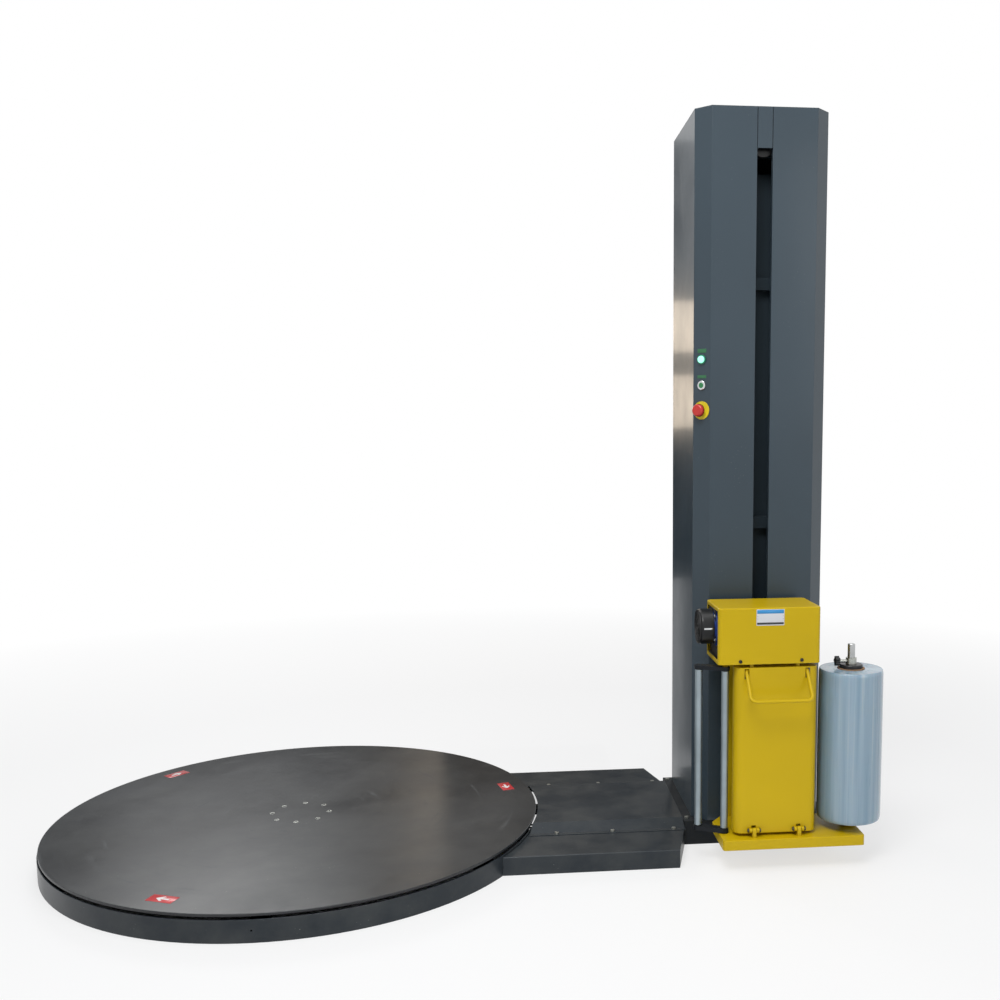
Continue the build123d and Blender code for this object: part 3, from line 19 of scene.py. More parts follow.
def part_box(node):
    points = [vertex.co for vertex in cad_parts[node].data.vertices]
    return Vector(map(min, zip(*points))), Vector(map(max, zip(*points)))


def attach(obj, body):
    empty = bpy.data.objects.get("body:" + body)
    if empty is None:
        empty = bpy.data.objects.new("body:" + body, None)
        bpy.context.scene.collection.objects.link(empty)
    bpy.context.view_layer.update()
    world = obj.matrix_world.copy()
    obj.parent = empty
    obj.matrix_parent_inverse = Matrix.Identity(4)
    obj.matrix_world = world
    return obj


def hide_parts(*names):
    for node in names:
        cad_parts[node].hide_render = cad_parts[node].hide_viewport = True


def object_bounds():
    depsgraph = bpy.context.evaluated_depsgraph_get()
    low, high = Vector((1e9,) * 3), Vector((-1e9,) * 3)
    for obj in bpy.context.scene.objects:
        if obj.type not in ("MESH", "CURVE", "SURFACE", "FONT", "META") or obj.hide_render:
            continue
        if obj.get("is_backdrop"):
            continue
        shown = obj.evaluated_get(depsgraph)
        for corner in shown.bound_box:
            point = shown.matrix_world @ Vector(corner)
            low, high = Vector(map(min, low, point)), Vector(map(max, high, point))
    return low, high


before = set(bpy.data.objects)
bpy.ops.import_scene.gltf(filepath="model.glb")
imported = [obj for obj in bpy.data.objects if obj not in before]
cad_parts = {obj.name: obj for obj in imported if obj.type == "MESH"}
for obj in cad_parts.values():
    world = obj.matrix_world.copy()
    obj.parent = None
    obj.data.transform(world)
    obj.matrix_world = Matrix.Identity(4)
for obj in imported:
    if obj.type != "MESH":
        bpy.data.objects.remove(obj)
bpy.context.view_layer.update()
random.seed(7)

# %% [markdown]
# ## A short language for shader trees
#
# Each finish below is a small tree of nodes. Writing links by hand hides the idea of a finish under
# bookkeeping, so a little wrapper class adds a node, sets its values and wires its inputs in one
# line. A value can be a number, a colour or another node's output.

# %% A helper that writes node trees
class Tree:
    """Adds nodes to a material or a node group and wires them as they are made."""

    def __init__(self, tree):
        self.tree = tree

    def put(self, kind, out=0, **inputs):
        """Adds a node. Names that start with 'set_' are node properties, the rest are its inputs."""
        node = self.tree.nodes.new(kind)
        for name, value in inputs.items():
            if name.startswith("set_"):
                setattr(node, name[4:], value)
        for name, value in inputs.items():
            if not name.startswith("set_"):
                self.feed(node, name, value)
        return node.outputs[out] if len(node.outputs) else node

    def feed(self, node, name, value):
        """Links or sets one input, by its name or by in_0, in_1 for a numbered one."""
        key = int(name[3:]) if name.startswith("in_") else name.replace("_", " ")
        socket = node.inputs[key]
        if isinstance(value, bpy.types.NodeSocket):
            self.tree.links.new(value, socket)
        else:
            socket.default_value = value

    def math(self, operation, a, b=0.0, clamp=False):
        return self.put("ShaderNodeMath", set_operation=operation, set_use_clamp=clamp, in_0=a, in_1=b)

    def mix(self, mask, a, b):
        """A colour mix."""
        node = self.tree.nodes.new("ShaderNodeMix")
        node.data_type = "RGBA"
        for index, value in ((0, mask), (6, a), (7, b)):
            if isinstance(value, bpy.types.NodeSocket):
                self.tree.links.new(value, node.inputs[index])
            else:
                node.inputs[index].default_value = value
        return node.outputs[2]

    def span(self, value, low, high, to_low, to_high):
        """A value moved from one range to another, clamped."""
        return self.put("ShaderNodeMapRange", Value=value, From_Min=low, From_Max=high,
                        To_Min=to_low, To_Max=to_high)

    def noise(self, scale, detail=3.0, roughness=0.55, vector=None, stretch=None):
        """Noise on Object coordinates, stretched where a finish has a direction."""
        if vector is None:
            vector = self.put("ShaderNodeTexCoord", out=3)
        if stretch is not None:
            vector = self.put("ShaderNodeMapping", Vector=vector, Scale=stretch)
        return self.put("ShaderNodeTexNoise", Vector=vector, Scale=scale, Detail=detail,
                        Roughness=roughness)


def linear_value(display):
    """One display value from 0 to 255, as a linear one from 0 to 1."""
    share = display / 255
    return share / 12.92 if display <= 10 else ((share + 0.055) / 1.055) ** 2.4


def rgba(red, green, blue):
    """A colour from 0-255 display values, as the linear value that a shader wants."""
    return (linear_value(red), linear_value(green), linear_value(blue), 1.0)


def shade(colour, share):
    """The same colour with less light in it."""
    return tuple(c * share for c in colour[:3]) + (1.0,)


# %% [markdown]
# ## Effects that several finishes share
#
# Real sheet metal gives itself away at its edges and in its unevenness: folded edges are slightly
# round and catch light, paint is thin and rubbed there, and a sprayed surface has a faint orange
# peel. Each of these is built once as a node group with named inputs and outputs, so that every
# paint can use it with its own strength.

# %% Edge wear and rounding as a node group
def make_group(name, inputs, outputs):
    """An empty shader group with float inputs given as (name, default) and named outputs."""
    group = bpy.data.node_groups.new(name, "ShaderNodeTree")
    for label, default in inputs:
        socket = group.interface.new_socket(label, in_out="INPUT", socket_type="NodeSocketFloat")
        socket.default_value = default
    for label, kind in outputs:
        group.interface.new_socket(label, in_out="OUTPUT", socket_type=kind)
    entry = group.nodes.new("NodeGroupInput")
    leave = group.nodes.new("NodeGroupOutput")
    return group, Tree(group), entry, leave


edge_group, t, entry, leave = make_group(
    "edge_wear", [("Radius", 0.002), ("Amount", 0.5), ("Grain", 60.0)],
    [("Mask", "NodeSocketFloat"), ("Normal", "NodeSocketVector")])
bevel = t.put("ShaderNodeBevel", set_samples=6, Radius=entry.outputs["Radius"])
plain = t.put("ShaderNodeNewGeometry", out=1)
facing = t.put("ShaderNodeVectorMath", out=1, set_operation="DOT_PRODUCT", in_0=bevel, in_1=plain)
away = t.math("SUBTRACT", 1.0, facing)
edge = t.span(away, 0.02, 0.22, 0.0, 1.0)
coords = t.put("ShaderNodeTexCoord", out=3)
grain_noise = t.put("ShaderNodeTexNoise", Vector=coords, Scale=entry.outputs["Grain"], Detail=4.0)
broken = t.span(grain_noise, 0.42, 0.68, 0.0, 1.0)
mask = t.math("MULTIPLY", t.math("MULTIPLY", edge, broken), entry.outputs["Amount"], clamp=True)
group_links = edge_group.links
group_links.new(mask, leave.inputs["Mask"])
group_links.new(bevel, leave.inputs["Normal"])
print("group", edge_group.name)

# %% Orange peel, soft dents and dust as node groups
peel_group, t, entry, leave = make_group(
    "orange_peel", [("Peel Scale", 260.0), ("Dent Scale", 5.0), ("Peel", 0.5), ("Dent", 0.5)],
    [("Height", "NodeSocketFloat")])
coords = t.put("ShaderNodeTexCoord", out=3)
peel = t.put("ShaderNodeTexNoise", Vector=coords, Scale=entry.outputs["Peel Scale"], Detail=1.0)
dent = t.put("ShaderNodeTexNoise", Vector=coords, Scale=entry.outputs["Dent Scale"], Detail=1.0)
height = t.math("ADD", t.math("MULTIPLY", peel, entry.outputs["Peel"]),
                t.math("MULTIPLY", dent, entry.outputs["Dent"]))
peel_group.links.new(height, leave.inputs["Height"])

dust_group, t, entry, leave = make_group(
    "settled_dust", [("Level", 0.3), ("Height", 0.25), ("Speckle", 0.4)],
    [("Mask", "NodeSocketFloat"), ("Specks", "NodeSocketFloat")])
coords = t.put("ShaderNodeTexCoord", out=3)
up = t.put("ShaderNodeSeparateXYZ", out=2, Vector=t.put("ShaderNodeNewGeometry", out=1))
flat_top = t.span(up, 0.6, 1.0, 0.0, 1.0)
low = t.put("ShaderNodeSeparateXYZ", out=2, Vector=coords)
near_floor = t.put("ShaderNodeMapRange", Value=low, From_Min=0.0, From_Max=entry.outputs["Height"],
                   To_Min=1.0, To_Max=0.0)
cloud = t.span(t.noise(7.0, 5.0, 0.6, vector=coords), 0.40, 0.72, 0.0, 1.0)
settled = t.math("MULTIPLY", t.math("MAXIMUM", flat_top, near_floor), cloud)
dust = t.math("MULTIPLY", settled, entry.outputs["Level"], clamp=True)
cells = t.put("ShaderNodeTexVoronoi", Vector=coords, Scale=90.0)
dots = t.span(cells, 0.05, 0.12, 1.0, 0.0)
rare = t.span(t.noise(11.0, 2.0, vector=coords), 0.58, 0.66, 0.0, 1.0)
specks = t.math("MULTIPLY", t.math("MULTIPLY", dots, rare), entry.outputs["Speckle"], clamp=True)
dust_group.links.new(dust, leave.inputs["Mask"])
dust_group.links.new(specks, leave.inputs["Specks"])
print("groups", peel_group.name, dust_group.name)


# %% [markdown]
# ## Painted sheet metal
#
# Most of the machine is folded sheet with sprayed paint: slate on the mast, near black on the table
# and bridge, yellow on the carriage. One function makes all of them, because they differ in colour,
# gloss and wear and in nothing else. The clear top gloss is the shader's coat, set on its own
# socket, and the groups above vary the colour, the roughness and the normal.

# %% Paint for folded sheet
def group_node(tree, group, **values):
    node = tree.tree.nodes.new("ShaderNodeGroup")
    node.node_tree = group
    for name, value in values.items():
        node.inputs[name.replace("_", " ")].default_value = value
    return node


def new_material(name, **shader):
    """A material with one Principled shader, whose constant sockets are set from the keywords."""
    material = bpy.data.materials.new(name)
    material.use_nodes = True
    material.node_tree.nodes.clear()
    tree = Tree(material.node_tree)
    surface = material.node_tree.nodes.new("ShaderNodeBsdfPrincipled")
    out = material.node_tree.nodes.new("ShaderNodeOutputMaterial")
    material.node_tree.links.new(surface.outputs[0], out.inputs[0])
    for label, value in shader.items():
        surface.inputs[label.replace("_", " ")].default_value = value
    return material, tree, surface


def paint(name, colour, worn, roughness=0.38, coat=0.25, edge=0.35, dust=0.15, specks=0.3,
          peel=0.5, dent=0.5, bump=0.25, dusty=(118, 118, 112), shine=0.25, radius=0.0022):
    """Sprayed paint on folded steel: colour drift, rubbed edges, orange peel and a little dust."""
    material, tree, surface = new_material(name, Specular_IOR_Level=shine, Coat_Weight=coat,
                                           Coat_Roughness=0.12)
    wear = group_node(tree, edge_group, Radius=radius, Amount=edge)
    settled = group_node(tree, dust_group, Level=dust, Speckle=specks)
    relief = group_node(tree, peel_group, Peel=peel, Dent=dent)
    drift = tree.span(tree.noise(1.7, 3.0), 0.3, 0.7, 0.0, 1.0)
    base = tree.mix(drift, shade(colour, 0.86), colour)
    base = tree.mix(wear.outputs["Mask"], base, worn)
    base = tree.mix(settled.outputs["Mask"], base, rgba(*dusty))
    base = tree.mix(settled.outputs["Specks"], base, rgba(170, 170, 165))
    tree.feed(surface, "Base_Color", base)
    smear = tree.span(tree.noise(3.1, 4.0, 0.6), 0.3, 0.7, roughness * 0.85, roughness * 1.2)
    dull = tree.math("MULTIPLY", settled.outputs["Mask"], 0.4)
    tree.feed(surface, "Roughness", tree.math("ADD", smear, dull))
    lump = tree.put("ShaderNodeBump", Strength=bump, Distance=0.0006, Height=relief.outputs["Height"],
                    Normal=wear.outputs["Normal"])
    tree.feed(surface, "Normal", lump)
    return material


slate_paint = paint("slate_mast_paint", rgba(54, 67, 76), rgba(96, 108, 116), roughness=0.34, coat=0.22,
                    edge=0.5, dust=0.06, specks=0.2)
base_paint = paint("dark_base_paint", rgba(36, 43, 49), rgba(96, 106, 112), roughness=0.36, coat=0.12,
                   edge=0.7, dust=0.16, specks=0.5)
foot_paint = paint("dark_inner_paint", rgba(24, 29, 34), rgba(64, 70, 74), roughness=0.45, coat=0.0,
                   edge=0.35, dust=0.08, specks=0.2, shine=0.15)
column_paint = paint("inner_column_paint", rgba(48, 60, 68), rgba(78, 88, 94), roughness=0.45, coat=0.0,
                     edge=0.3, dust=0.05, specks=0.1, shine=0.2)
yellow_paint = paint("yellow_carriage_paint", rgba(203, 172, 6), rgba(230, 208, 76), roughness=0.38,
                     coat=0.08, edge=0.4, dust=0.03, specks=0.1, dusty=(160, 146, 80), bump=0.2, shine=0.2)
print("paints", slate_paint.name, base_paint.name, yellow_paint.name)

# %% [markdown]
# ## The turntable's painted plate
#
# The table is a single round plate, sprayed in a thin dark coat that shoes and pallets polish and
# scuff. Its gloss is uneven, and the scuffs run in short arcs because loads turn on it. The arcs come
# from noise on polar coordinates: the radius is scaled a lot and the angle only a little.

# %% Scuffed turntable paint
def turntable_paint():
    material, tree, surface = new_material("turntable_paint", Specular_IOR_Level=0.35, Coat_Weight=0.08,
                                           Coat_Roughness=0.2)
    coords = tree.put("ShaderNodeTexCoord", out=3)
    split = tree.tree.nodes.new("ShaderNodeSeparateXYZ")
    tree.feed(split, "Vector", coords)
    radius = tree.put("ShaderNodeVectorMath", out=1, set_operation="LENGTH", in_0=coords)
    angle = tree.math("ARCTAN2", split.outputs[1], split.outputs[0])
    polar = tree.put("ShaderNodeCombineXYZ", X=tree.math("MULTIPLY", radius, 42.0),
                     Y=tree.math("MULTIPLY", angle, 2.2), Z=split.outputs[2])
    arcs = tree.put("ShaderNodeTexNoise", Vector=polar, Scale=1.0, Detail=5.0, Roughness=0.65)
    scuff = tree.span(arcs, 0.60, 0.74, 0.0, 0.55)
    blotch = tree.span(tree.noise(2.3, 5.0, 0.62), 0.30, 0.72, 0.0, 1.0)
    wear = group_node(tree, edge_group, Radius=0.0015, Amount=0.8)
    settled = group_node(tree, dust_group, Level=0.22, Height=0.02, Speckle=0.5)
    base = tree.mix(blotch, rgba(32, 34, 36), rgba(42, 45, 48))
    base = tree.mix(scuff, base, rgba(72, 77, 80))
    base = tree.mix(settled.outputs["Mask"], base, rgba(84, 86, 84))
    base = tree.mix(wear.outputs["Mask"], base, rgba(140, 146, 150))
    base = tree.mix(settled.outputs["Specks"], base, rgba(175, 175, 170))
    tree.feed(surface, "Base_Color", base)
    rough = tree.math("ADD", tree.span(blotch, 0.0, 1.0, 0.30, 0.46), tree.math("MULTIPLY", scuff, 0.3))
    tree.feed(surface, "Roughness", rough)
    waves = tree.math("ADD", tree.noise(4.0, 1.0), tree.math("MULTIPLY", tree.noise(300.0, 1.0), 0.35))
    tree.feed(surface, "Normal", tree.put("ShaderNodeBump", Strength=0.25, Distance=0.0008, Height=waves,
                                          Normal=wear.outputs["Normal"]))
    return material


table_paint = turntable_paint()
print("made", table_paint.name)


# %% [markdown]
# ## Bare metals
#
# Rollers are drawn aluminium tube, shafts and screws are zinc-plated or turned steel. Metal looks
# flat without direction in its surface, so a stretched noise gives fine lines: round the tube for
# turned parts, along it for drawn ones. The same function makes all of them.

# %% Turned and drawn metal
def metal(name, colour, roughness, lines, strength=0.25, anisotropic=0.4):
    """Bare metal whose fine lines follow the stretch given for X, Y and Z."""
    material, tree, surface = new_material(name, Metallic=1.0, Anisotropic=anisotropic)
    streak = tree.noise(1.0, 4.0, 0.6, stretch=lines)
    cloud = tree.noise(14.0, 3.0)
    tone = tree.mix(tree.span(cloud, 0.3, 0.7, 0.0, 1.0), shade(colour, 0.82), colour)
    tree.feed(surface, "Base_Color", tone)
    tree.feed(surface, "Roughness", tree.span(streak, 0.3, 0.7, roughness * 0.8, roughness * 1.35))
    tree.feed(surface, "Normal", tree.put("ShaderNodeBump", Strength=strength, Distance=0.0002,
                                          Height=streak))
    return material


roller_metal = metal("drawn_aluminium", rgba(156, 168, 174), 0.44, (500.0, 500.0, 14.0), 0.15, 0.0)
turned_steel = metal("turned_steel", rgba(188, 190, 190), 0.24, (60.0, 60.0, 900.0))
zinc_plate = metal("zinc_plate", rgba(176, 178, 172), 0.38, (120.0, 120.0, 120.0), 0.15, 0.0)
chrome_plate = metal("chrome_plate", rgba(214, 216, 218), 0.08, (40.0, 40.0, 40.0), 0.04, 0.0)
belt_steel = metal("oiled_chain_steel", rgba(92, 90, 86), 0.42, (80.0, 80.0, 80.0), 0.3, 0.0)
print("metals made")


# %% [markdown]
# ## Plastics, rubber and board
#
# Moulded plastic is smoother than paint and has a fine even grain. Rubber is rougher and darker in
# its hollows. One function covers them, and the wound film and the lamp get finishes of their own.

# %% Moulded plastics and rubber
def moulded(name, colour, roughness=0.4, grain=420.0, strength=0.2, coat=0.0, drift=0.12, dust=0.08,
             shine=0.5):
    """A moulded surface with a fine grain. Drift is how much darker its cloudy parts get."""
    material, tree, surface = new_material(name, Specular_IOR_Level=shine, Coat_Weight=coat,
                                           Coat_Roughness=0.1)
    cloud = tree.span(tree.noise(9.0, 3.0), 0.3, 0.7, 0.0, 1.0)
    settled = group_node(tree, dust_group, Level=dust, Height=0.05, Speckle=0.15)
    base = tree.mix(cloud, shade(colour, 1.0 - drift), colour)
    tree.feed(surface, "Base_Color", tree.mix(settled.outputs["Mask"], base, rgba(128, 126, 120)))
    tree.feed(surface, "Roughness", tree.span(cloud, 0.0, 1.0, roughness * 0.9, roughness * 1.15))
    rounded = tree.put("ShaderNodeBevel", set_samples=4, Radius=0.0008)
    tree.feed(surface, "Normal", tree.put("ShaderNodeBump", Strength=strength, Distance=0.0002,
                                          Height=tree.noise(grain, 2.0), Normal=rounded))
    return material


black_plastic = moulded("black_plastic", rgba(17, 18, 20), 0.30, coat=0.05, shine=0.3)
black_iron = moulded("black_oxide_screws", rgba(16, 16, 17), 0.38)
hinge_iron = moulded("dark_hinge_bolts", rgba(62, 60, 54), 0.42)
rubber = moulded("stretch_rubber", rgba(30, 31, 33), 0.62, grain=700.0, strength=0.35)
nylon = moulded("nylon", rgba(206, 202, 186), 0.45)
cast_blue = moulded("cast_blue_housing", rgba(28, 62, 142), 0.4, grain=240.0, strength=0.35, coat=0.2)
cast_dark = moulded("cast_gear_housing", rgba(58, 66, 74), 0.5, grain=180.0, strength=0.4)
red_plastic = moulded("red_mushroom", rgba(196, 34, 26), 0.3, coat=0.3)
yellow_plastic = moulded("yellow_ring", rgba(236, 208, 40), 0.4)
green_plastic = moulded("green_button", rgba(18, 120, 62), 0.3, coat=0.3)
grey_box = moulded("grey_enclosure", rgba(150, 152, 152), 0.5)
arm_paint = moulded("dark_arm_paint", rgba(22, 26, 31), 0.35, shine=0.2)
print("plastics made")


# %% Wound stretch film, its board core, and the lit lamp
def wound_film():
    """Many clear layers on a roll: pale and slightly see-through, with streaks along the roll."""
    material, tree, surface = new_material("wound_stretch_film", IOR=1.45, Coat_Weight=0.7,
                                           Coat_Roughness=0.14, Subsurface_Weight=0.15,
                                           Subsurface_Scale=0.02)
    coords = tree.put("ShaderNodeTexCoord", out=3)
    centred = tree.put("ShaderNodeMapping", Vector=coords, Location=(-roll_axis.x, -roll_axis.y, 0.0))
    split = tree.tree.nodes.new("ShaderNodeSeparateXYZ")
    tree.feed(split, "Vector", centred)
    angle = tree.math("ARCTAN2", split.outputs[1], split.outputs[0])
    around = tree.put("ShaderNodeCombineXYZ", X=tree.math("MULTIPLY", angle, 3.2),
                      Y=tree.math("MULTIPLY", split.outputs[2], 0.5), Z=0.0)
    streaks = tree.put("ShaderNodeTexNoise", Vector=around, Scale=1.3, Detail=3.0, Roughness=0.55)
    bands = tree.span(streaks, 0.30, 0.72, 0.0, 0.8)
    fine = tree.put("ShaderNodeTexNoise", Vector=around, Scale=9.0, Detail=3.0, Roughness=0.6)
    base = tree.mix(bands, rgba(112, 142, 162), rgba(160, 178, 190))
    warm = tree.span(streaks, 0.60, 0.74, 0.0, 0.55)
    base = tree.mix(warm, base, rgba(176, 180, 170))
    tree.feed(surface, "Base_Color", base)
    tree.feed(surface, "Roughness", tree.span(fine, 0.3, 0.7, 0.24, 0.42))
    ridges = tree.math("ADD", streaks, tree.math("MULTIPLY", fine, 0.1))
    tree.feed(surface, "Normal", tree.put("ShaderNodeBump", Strength=0.35, Distance=0.0012, Height=ridges))
    return material


COLLAR_FOOT, KNOB_END = 0.6545, 1.8058    # the collar's foot in Z and the knob's end in X


def capped(name, axis, edge):
    """Black plastic up to a plane across one axis, bare zinc past it: one mask drives the colour and the
    metal.
    """
    material, tree, surface = new_material(name, Specular_IOR_Level=0.4)
    split = tree.tree.nodes.new("ShaderNodeSeparateXYZ")
    tree.feed(split, "Vector", tree.put("ShaderNodeTexCoord", out=3))
    past = tree.math("GREATER_THAN", split.outputs[axis], edge)
    tree.feed(surface, "Base_Color", tree.mix(past, rgba(24, 25, 27), rgba(176, 178, 172)))
    tree.feed(surface, "Metallic", past)
    tree.feed(surface, "Roughness", tree.span(tree.noise(18.0, 3.0), 0.3, 0.7, 0.30, 0.42))
    tree.feed(surface, "Normal", tree.put("ShaderNodeBump", Strength=0.15, Distance=0.0002,
                                          Height=tree.noise(420.0, 2.0)))
    return material


flange_finish = capped("flange_with_zinc_collar", 2, COLLAR_FOOT)
knob_finish = capped("knob_on_zinc_rod", 0, KNOB_END)
print("collar and knob made")

core_low, core_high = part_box("film_core")
roll_axis = (core_low + core_high) / 2
film_finish = wound_film()

board = moulded("core_board", rgba(150, 116, 84), 0.8, grain=160.0, strength=0.5)


def lit_lens():
    """The lamp's lens is lit from behind: brightest in the middle, deeper towards the rim."""
    material, tree, surface = new_material("lit_green_lens", Roughness=0.2, Emission_Strength=1.1,
                                           Coat_Weight=0.6, Coat_Roughness=0.05)
    edge = tree.put("ShaderNodeLayerWeight", out=1, Blend=0.45)
    glow = tree.mix(edge, rgba(176, 250, 224), rgba(22, 170, 124))
    ribs = tree.noise(300.0, 1.0)
    tree.feed(surface, "Base_Color", rgba(120, 230, 190))
    tree.feed(surface, "Emission_Color", glow)
    tree.feed(surface, "Normal", tree.put("ShaderNodeBump", Strength=0.2, Distance=0.0003, Height=ribs))
    return material


lens_finish = lit_lens()
print("film, board and lens made")

# %% [markdown]
# ## Finishes on the frame's pieces
#
# Each CAD node keeps its shape and gets the finish of the real piece. A table from finish to nodes
# reads best, and the loop prints any node that is left without one.

# %% Give every CAD node its finish
finishes = {
    slate_paint: ["mast_left_shell", "mast_right_shell", "mast_back_panel", "mast_cap", "slot_strip"],
    base_paint: ["base_ring", "bridge_front_wing", "bridge_back_wing", "chain_cover"],
    foot_paint: ["base_frame", "wheel_forks", "mast_foot"],
    column_paint: ["rail_frame"],
    table_paint: ["turntable_plate"],
    yellow_paint: ["carriage_base", "carriage_back", "motor_box", "film_door", "door_handle"],
    roller_metal: ["guide_roller", "dancer_roller", "door_roller"],
    turned_steel: ["roll_mandrel", "bottom_pulley"],
    zinc_plate: ["cover_screws", "trolley_frame"],
    belt_steel: ["drive_chain", "table_sprocket", "drive_sprocket"],
    chrome_plate: ["button_bezel", "estop_stem"],
    black_plastic: ["motor_cowl", "cable_gland", "top_pulley"],
    flange_finish: ["roll_flange"],
    knob_finish: ["lock_knob"],
    rubber: ["fast_stretch_roller", "slow_stretch_roller", "lift_belt"],
    nylon: [f"support_wheel_{n}" for n in range(1, 7)] + [f"trolley_wheel_{n}" for n in range(1, 5)],
    cast_blue: ["stretch_gearmotor"],
    cast_dark: ["lift_gearmotor", "table_gearmotor"],
    red_plastic: ["estop_head"],
    yellow_plastic: ["estop_collar"],
    green_plastic: ["start_button"],
    grey_box: ["electrics_box"],
    arm_paint: ["dancer_arm"],
    film_finish: ["film_roll"],
    board: ["film_core"],
    lens_finish: ["power_lamp"],
}
for finish, names in finishes.items():
    for name in names:
        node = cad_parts[name]
        node.data.materials.clear()
        node.data.materials.append(finish)
finished = {name for names in finishes.values() for name in names}
print("finished nodes", len(finished), "left out", sorted(set(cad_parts) - finished))

# %% [markdown]
# ## Small pieces, and how each is made
#
# Labels, screws and stickers are small, but they are what the eye checks first. Each is shaped flat
# at the origin, lying in XY with +Z outwards, and is then set down by one matrix on the face that
# carries it. A fine bevel on the rims of plates and screw heads keeps them from looking cut out of paper.

# %% Helpers that shape a piece and set it in its place
ON_FRONT = ((1, 0, 0), (0, -1, 0))     # across and outwards for a face that looks to the front
ON_END = ((0, -1, 0), (-1, 0, 0))      # and for one that looks to the turntable's side


def seat(place, across, outwards):
    """The matrix that carries XY onto a face: 'across' is its local X, 'outwards' its local Z."""
    z = Vector(outwards).normalized()
    x = Vector(across).normalized()
    axes = Matrix((x, z.cross(x), z)).transposed()
    return Matrix.Translation(Vector(place)) @ axes.to_4x4()


def set_down(name, shape, where, finish, body, sharp=math.radians(35)):
    """Turns a bmesh into an object that rides on a body, with its place kept in its mesh."""
    bmesh.ops.transform(shape, matrix=where, verts=shape.verts)
    mesh = bpy.data.meshes.new(name)
    shape.to_mesh(mesh)
    shape.free()
    for face in mesh.polygons:
        face.use_smooth = True
    mesh.set_sharp_from_angle(angle=sharp)
    mesh.materials.append(finish)
    piece = bpy.data.objects.new(name, mesh)
    bpy.context.scene.collection.objects.link(piece)
    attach(piece, body)
    return piece


def soften(shape, edges, width, steps=2):
    bmesh.ops.bevel(shape, geom=edges, offset=width, offset_type="OFFSET", affect="EDGES",
                    segments=steps, profile=0.5, material=-1, clamp_overlap=True)


def top_edges(shape):
    """The rim edges of the highest face."""
    peak = max(vert.co.z for vert in shape.verts)
    return [edge for edge in shape.edges if all(abs(v.co.z - peak) < 1e-6 for v in edge.verts)]


def rounded_plate(width, height, thick, corner, rim):
    """A flat plate with round corners and a softened front rim. Its back is at z = 0."""
    shape = bmesh.new()
    bmesh.ops.create_cube(shape, size=1.0)
    bmesh.ops.scale(shape, vec=(width, height, thick), verts=shape.verts)
    bmesh.ops.translate(shape, vec=(0, 0, thick / 2), verts=shape.verts)
    upright_edges = [e for e in shape.edges if abs(e.verts[0].co.z - e.verts[1].co.z) > thick / 2]
    soften(shape, upright_edges, corner, 5)
    soften(shape, top_edges(shape), rim)
    return shape


def socket_screw(radius, height, socket):
    """A round screw head with a hexagonal socket pressed into it."""
    shape = bmesh.new()
    bmesh.ops.create_cone(shape, cap_ends=True, segments=24, radius1=radius, radius2=radius, depth=height)
    bmesh.ops.translate(shape, vec=(0, 0, height / 2), verts=shape.verts)
    soften(shape, top_edges(shape), radius * 0.3, 3)
    lid = max(shape.faces, key=lambda face: face.calc_center_median().z)
    bmesh.ops.inset_region(shape, faces=[lid], thickness=max(radius * 0.68 - socket, radius * 0.1))
    bmesh.ops.translate(shape, vec=(0, 0, -height * 0.55), verts=lid.verts)
    return shape


def hex_head(radius, height):
    """A hexagon bolt head on a thin washer."""
    shape = bmesh.new()
    bmesh.ops.create_cone(shape, cap_ends=True, segments=28, radius1=radius * 1.35, radius2=radius * 1.35,
                          depth=height * 0.2)
    bmesh.ops.translate(shape, vec=(0, 0, height * 0.1), verts=shape.verts)
    head = bmesh.ops.create_cone(shape, cap_ends=True, segments=6, radius1=radius, radius2=radius,
                                 depth=height * 0.8)["verts"]
    bmesh.ops.translate(shape, vec=(0, 0, height * 0.6), verts=head)
    soften(shape, top_edges(shape), radius * 0.12)
    return shape


def join(shape, other, where):
    """Adds another bmesh to this one at a place of its own."""
    mesh = bpy.data.meshes.new("joined")
    bmesh.ops.transform(other, matrix=where, verts=other.verts)
    other.to_mesh(mesh)
    other.free()
    shape.from_mesh(mesh)
    bpy.data.meshes.remove(mesh)


def row_of(maker, places):
    """One piece made of the same small shape at several seats."""
    shape = bmesh.new()
    for where in places:
        join(shape, maker(), where)
    return shape


STILL = Matrix.Identity(4)
print("helpers ready")

# %% [markdown]
# ## Direction arrows on the turntable
#
# Three red stickers near the rim show which way the table turns. A sticker is a plate a fraction of a
# millimetre thick; its arrow is a second, thinner plate whose outline is seven points, extruded.

# %% Arrow stickers
STICKER_LONG, STICKER_SHORT, STICKER_THICK = 0.086, 0.044, 0.0003
MARK_THICK = 0.00012
STICKER_CIRCLE = 0.748
STICKER_ANGLES = (-111.4, 15.5, 138.0)
sticker_red = moulded("sticker_red", rgba(196, 52, 56), 0.38, coat=0.25, drift=0.08, dust=0.10)
sticker_white = moulded("sticker_white", rgba(226, 224, 222), 0.45, drift=0.06, dust=0.12)
table_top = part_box("turntable_plate")[1].z


def arrow_outline():
    """An arrow along +X with swept barbs."""
    tip, barb, waist, shaft, tail = 0.021, 0.0155, 0.0035, 0.0042, -0.022
    points = [(tip, 0), (waist - 0.003, barb), (waist - 0.0095, barb * 0.78), (waist, shaft), (tail, shaft),
              (tail, -shaft), (waist, -shaft), (waist - 0.0095, -barb * 0.78), (waist - 0.003, -barb)]
    shape = bmesh.new()
    flat = shape.faces.new([shape.verts.new((x, y, 0)) for x, y in points])
    raised = bmesh.ops.extrude_face_region(shape, geom=[flat])["geom"]
    lifted = [piece for piece in raised if isinstance(piece, bmesh.types.BMVert)]
    bmesh.ops.translate(shape, vec=(0, 0, MARK_THICK), verts=lifted)
    bmesh.ops.recalc_face_normals(shape, faces=shape.faces)
    return shape


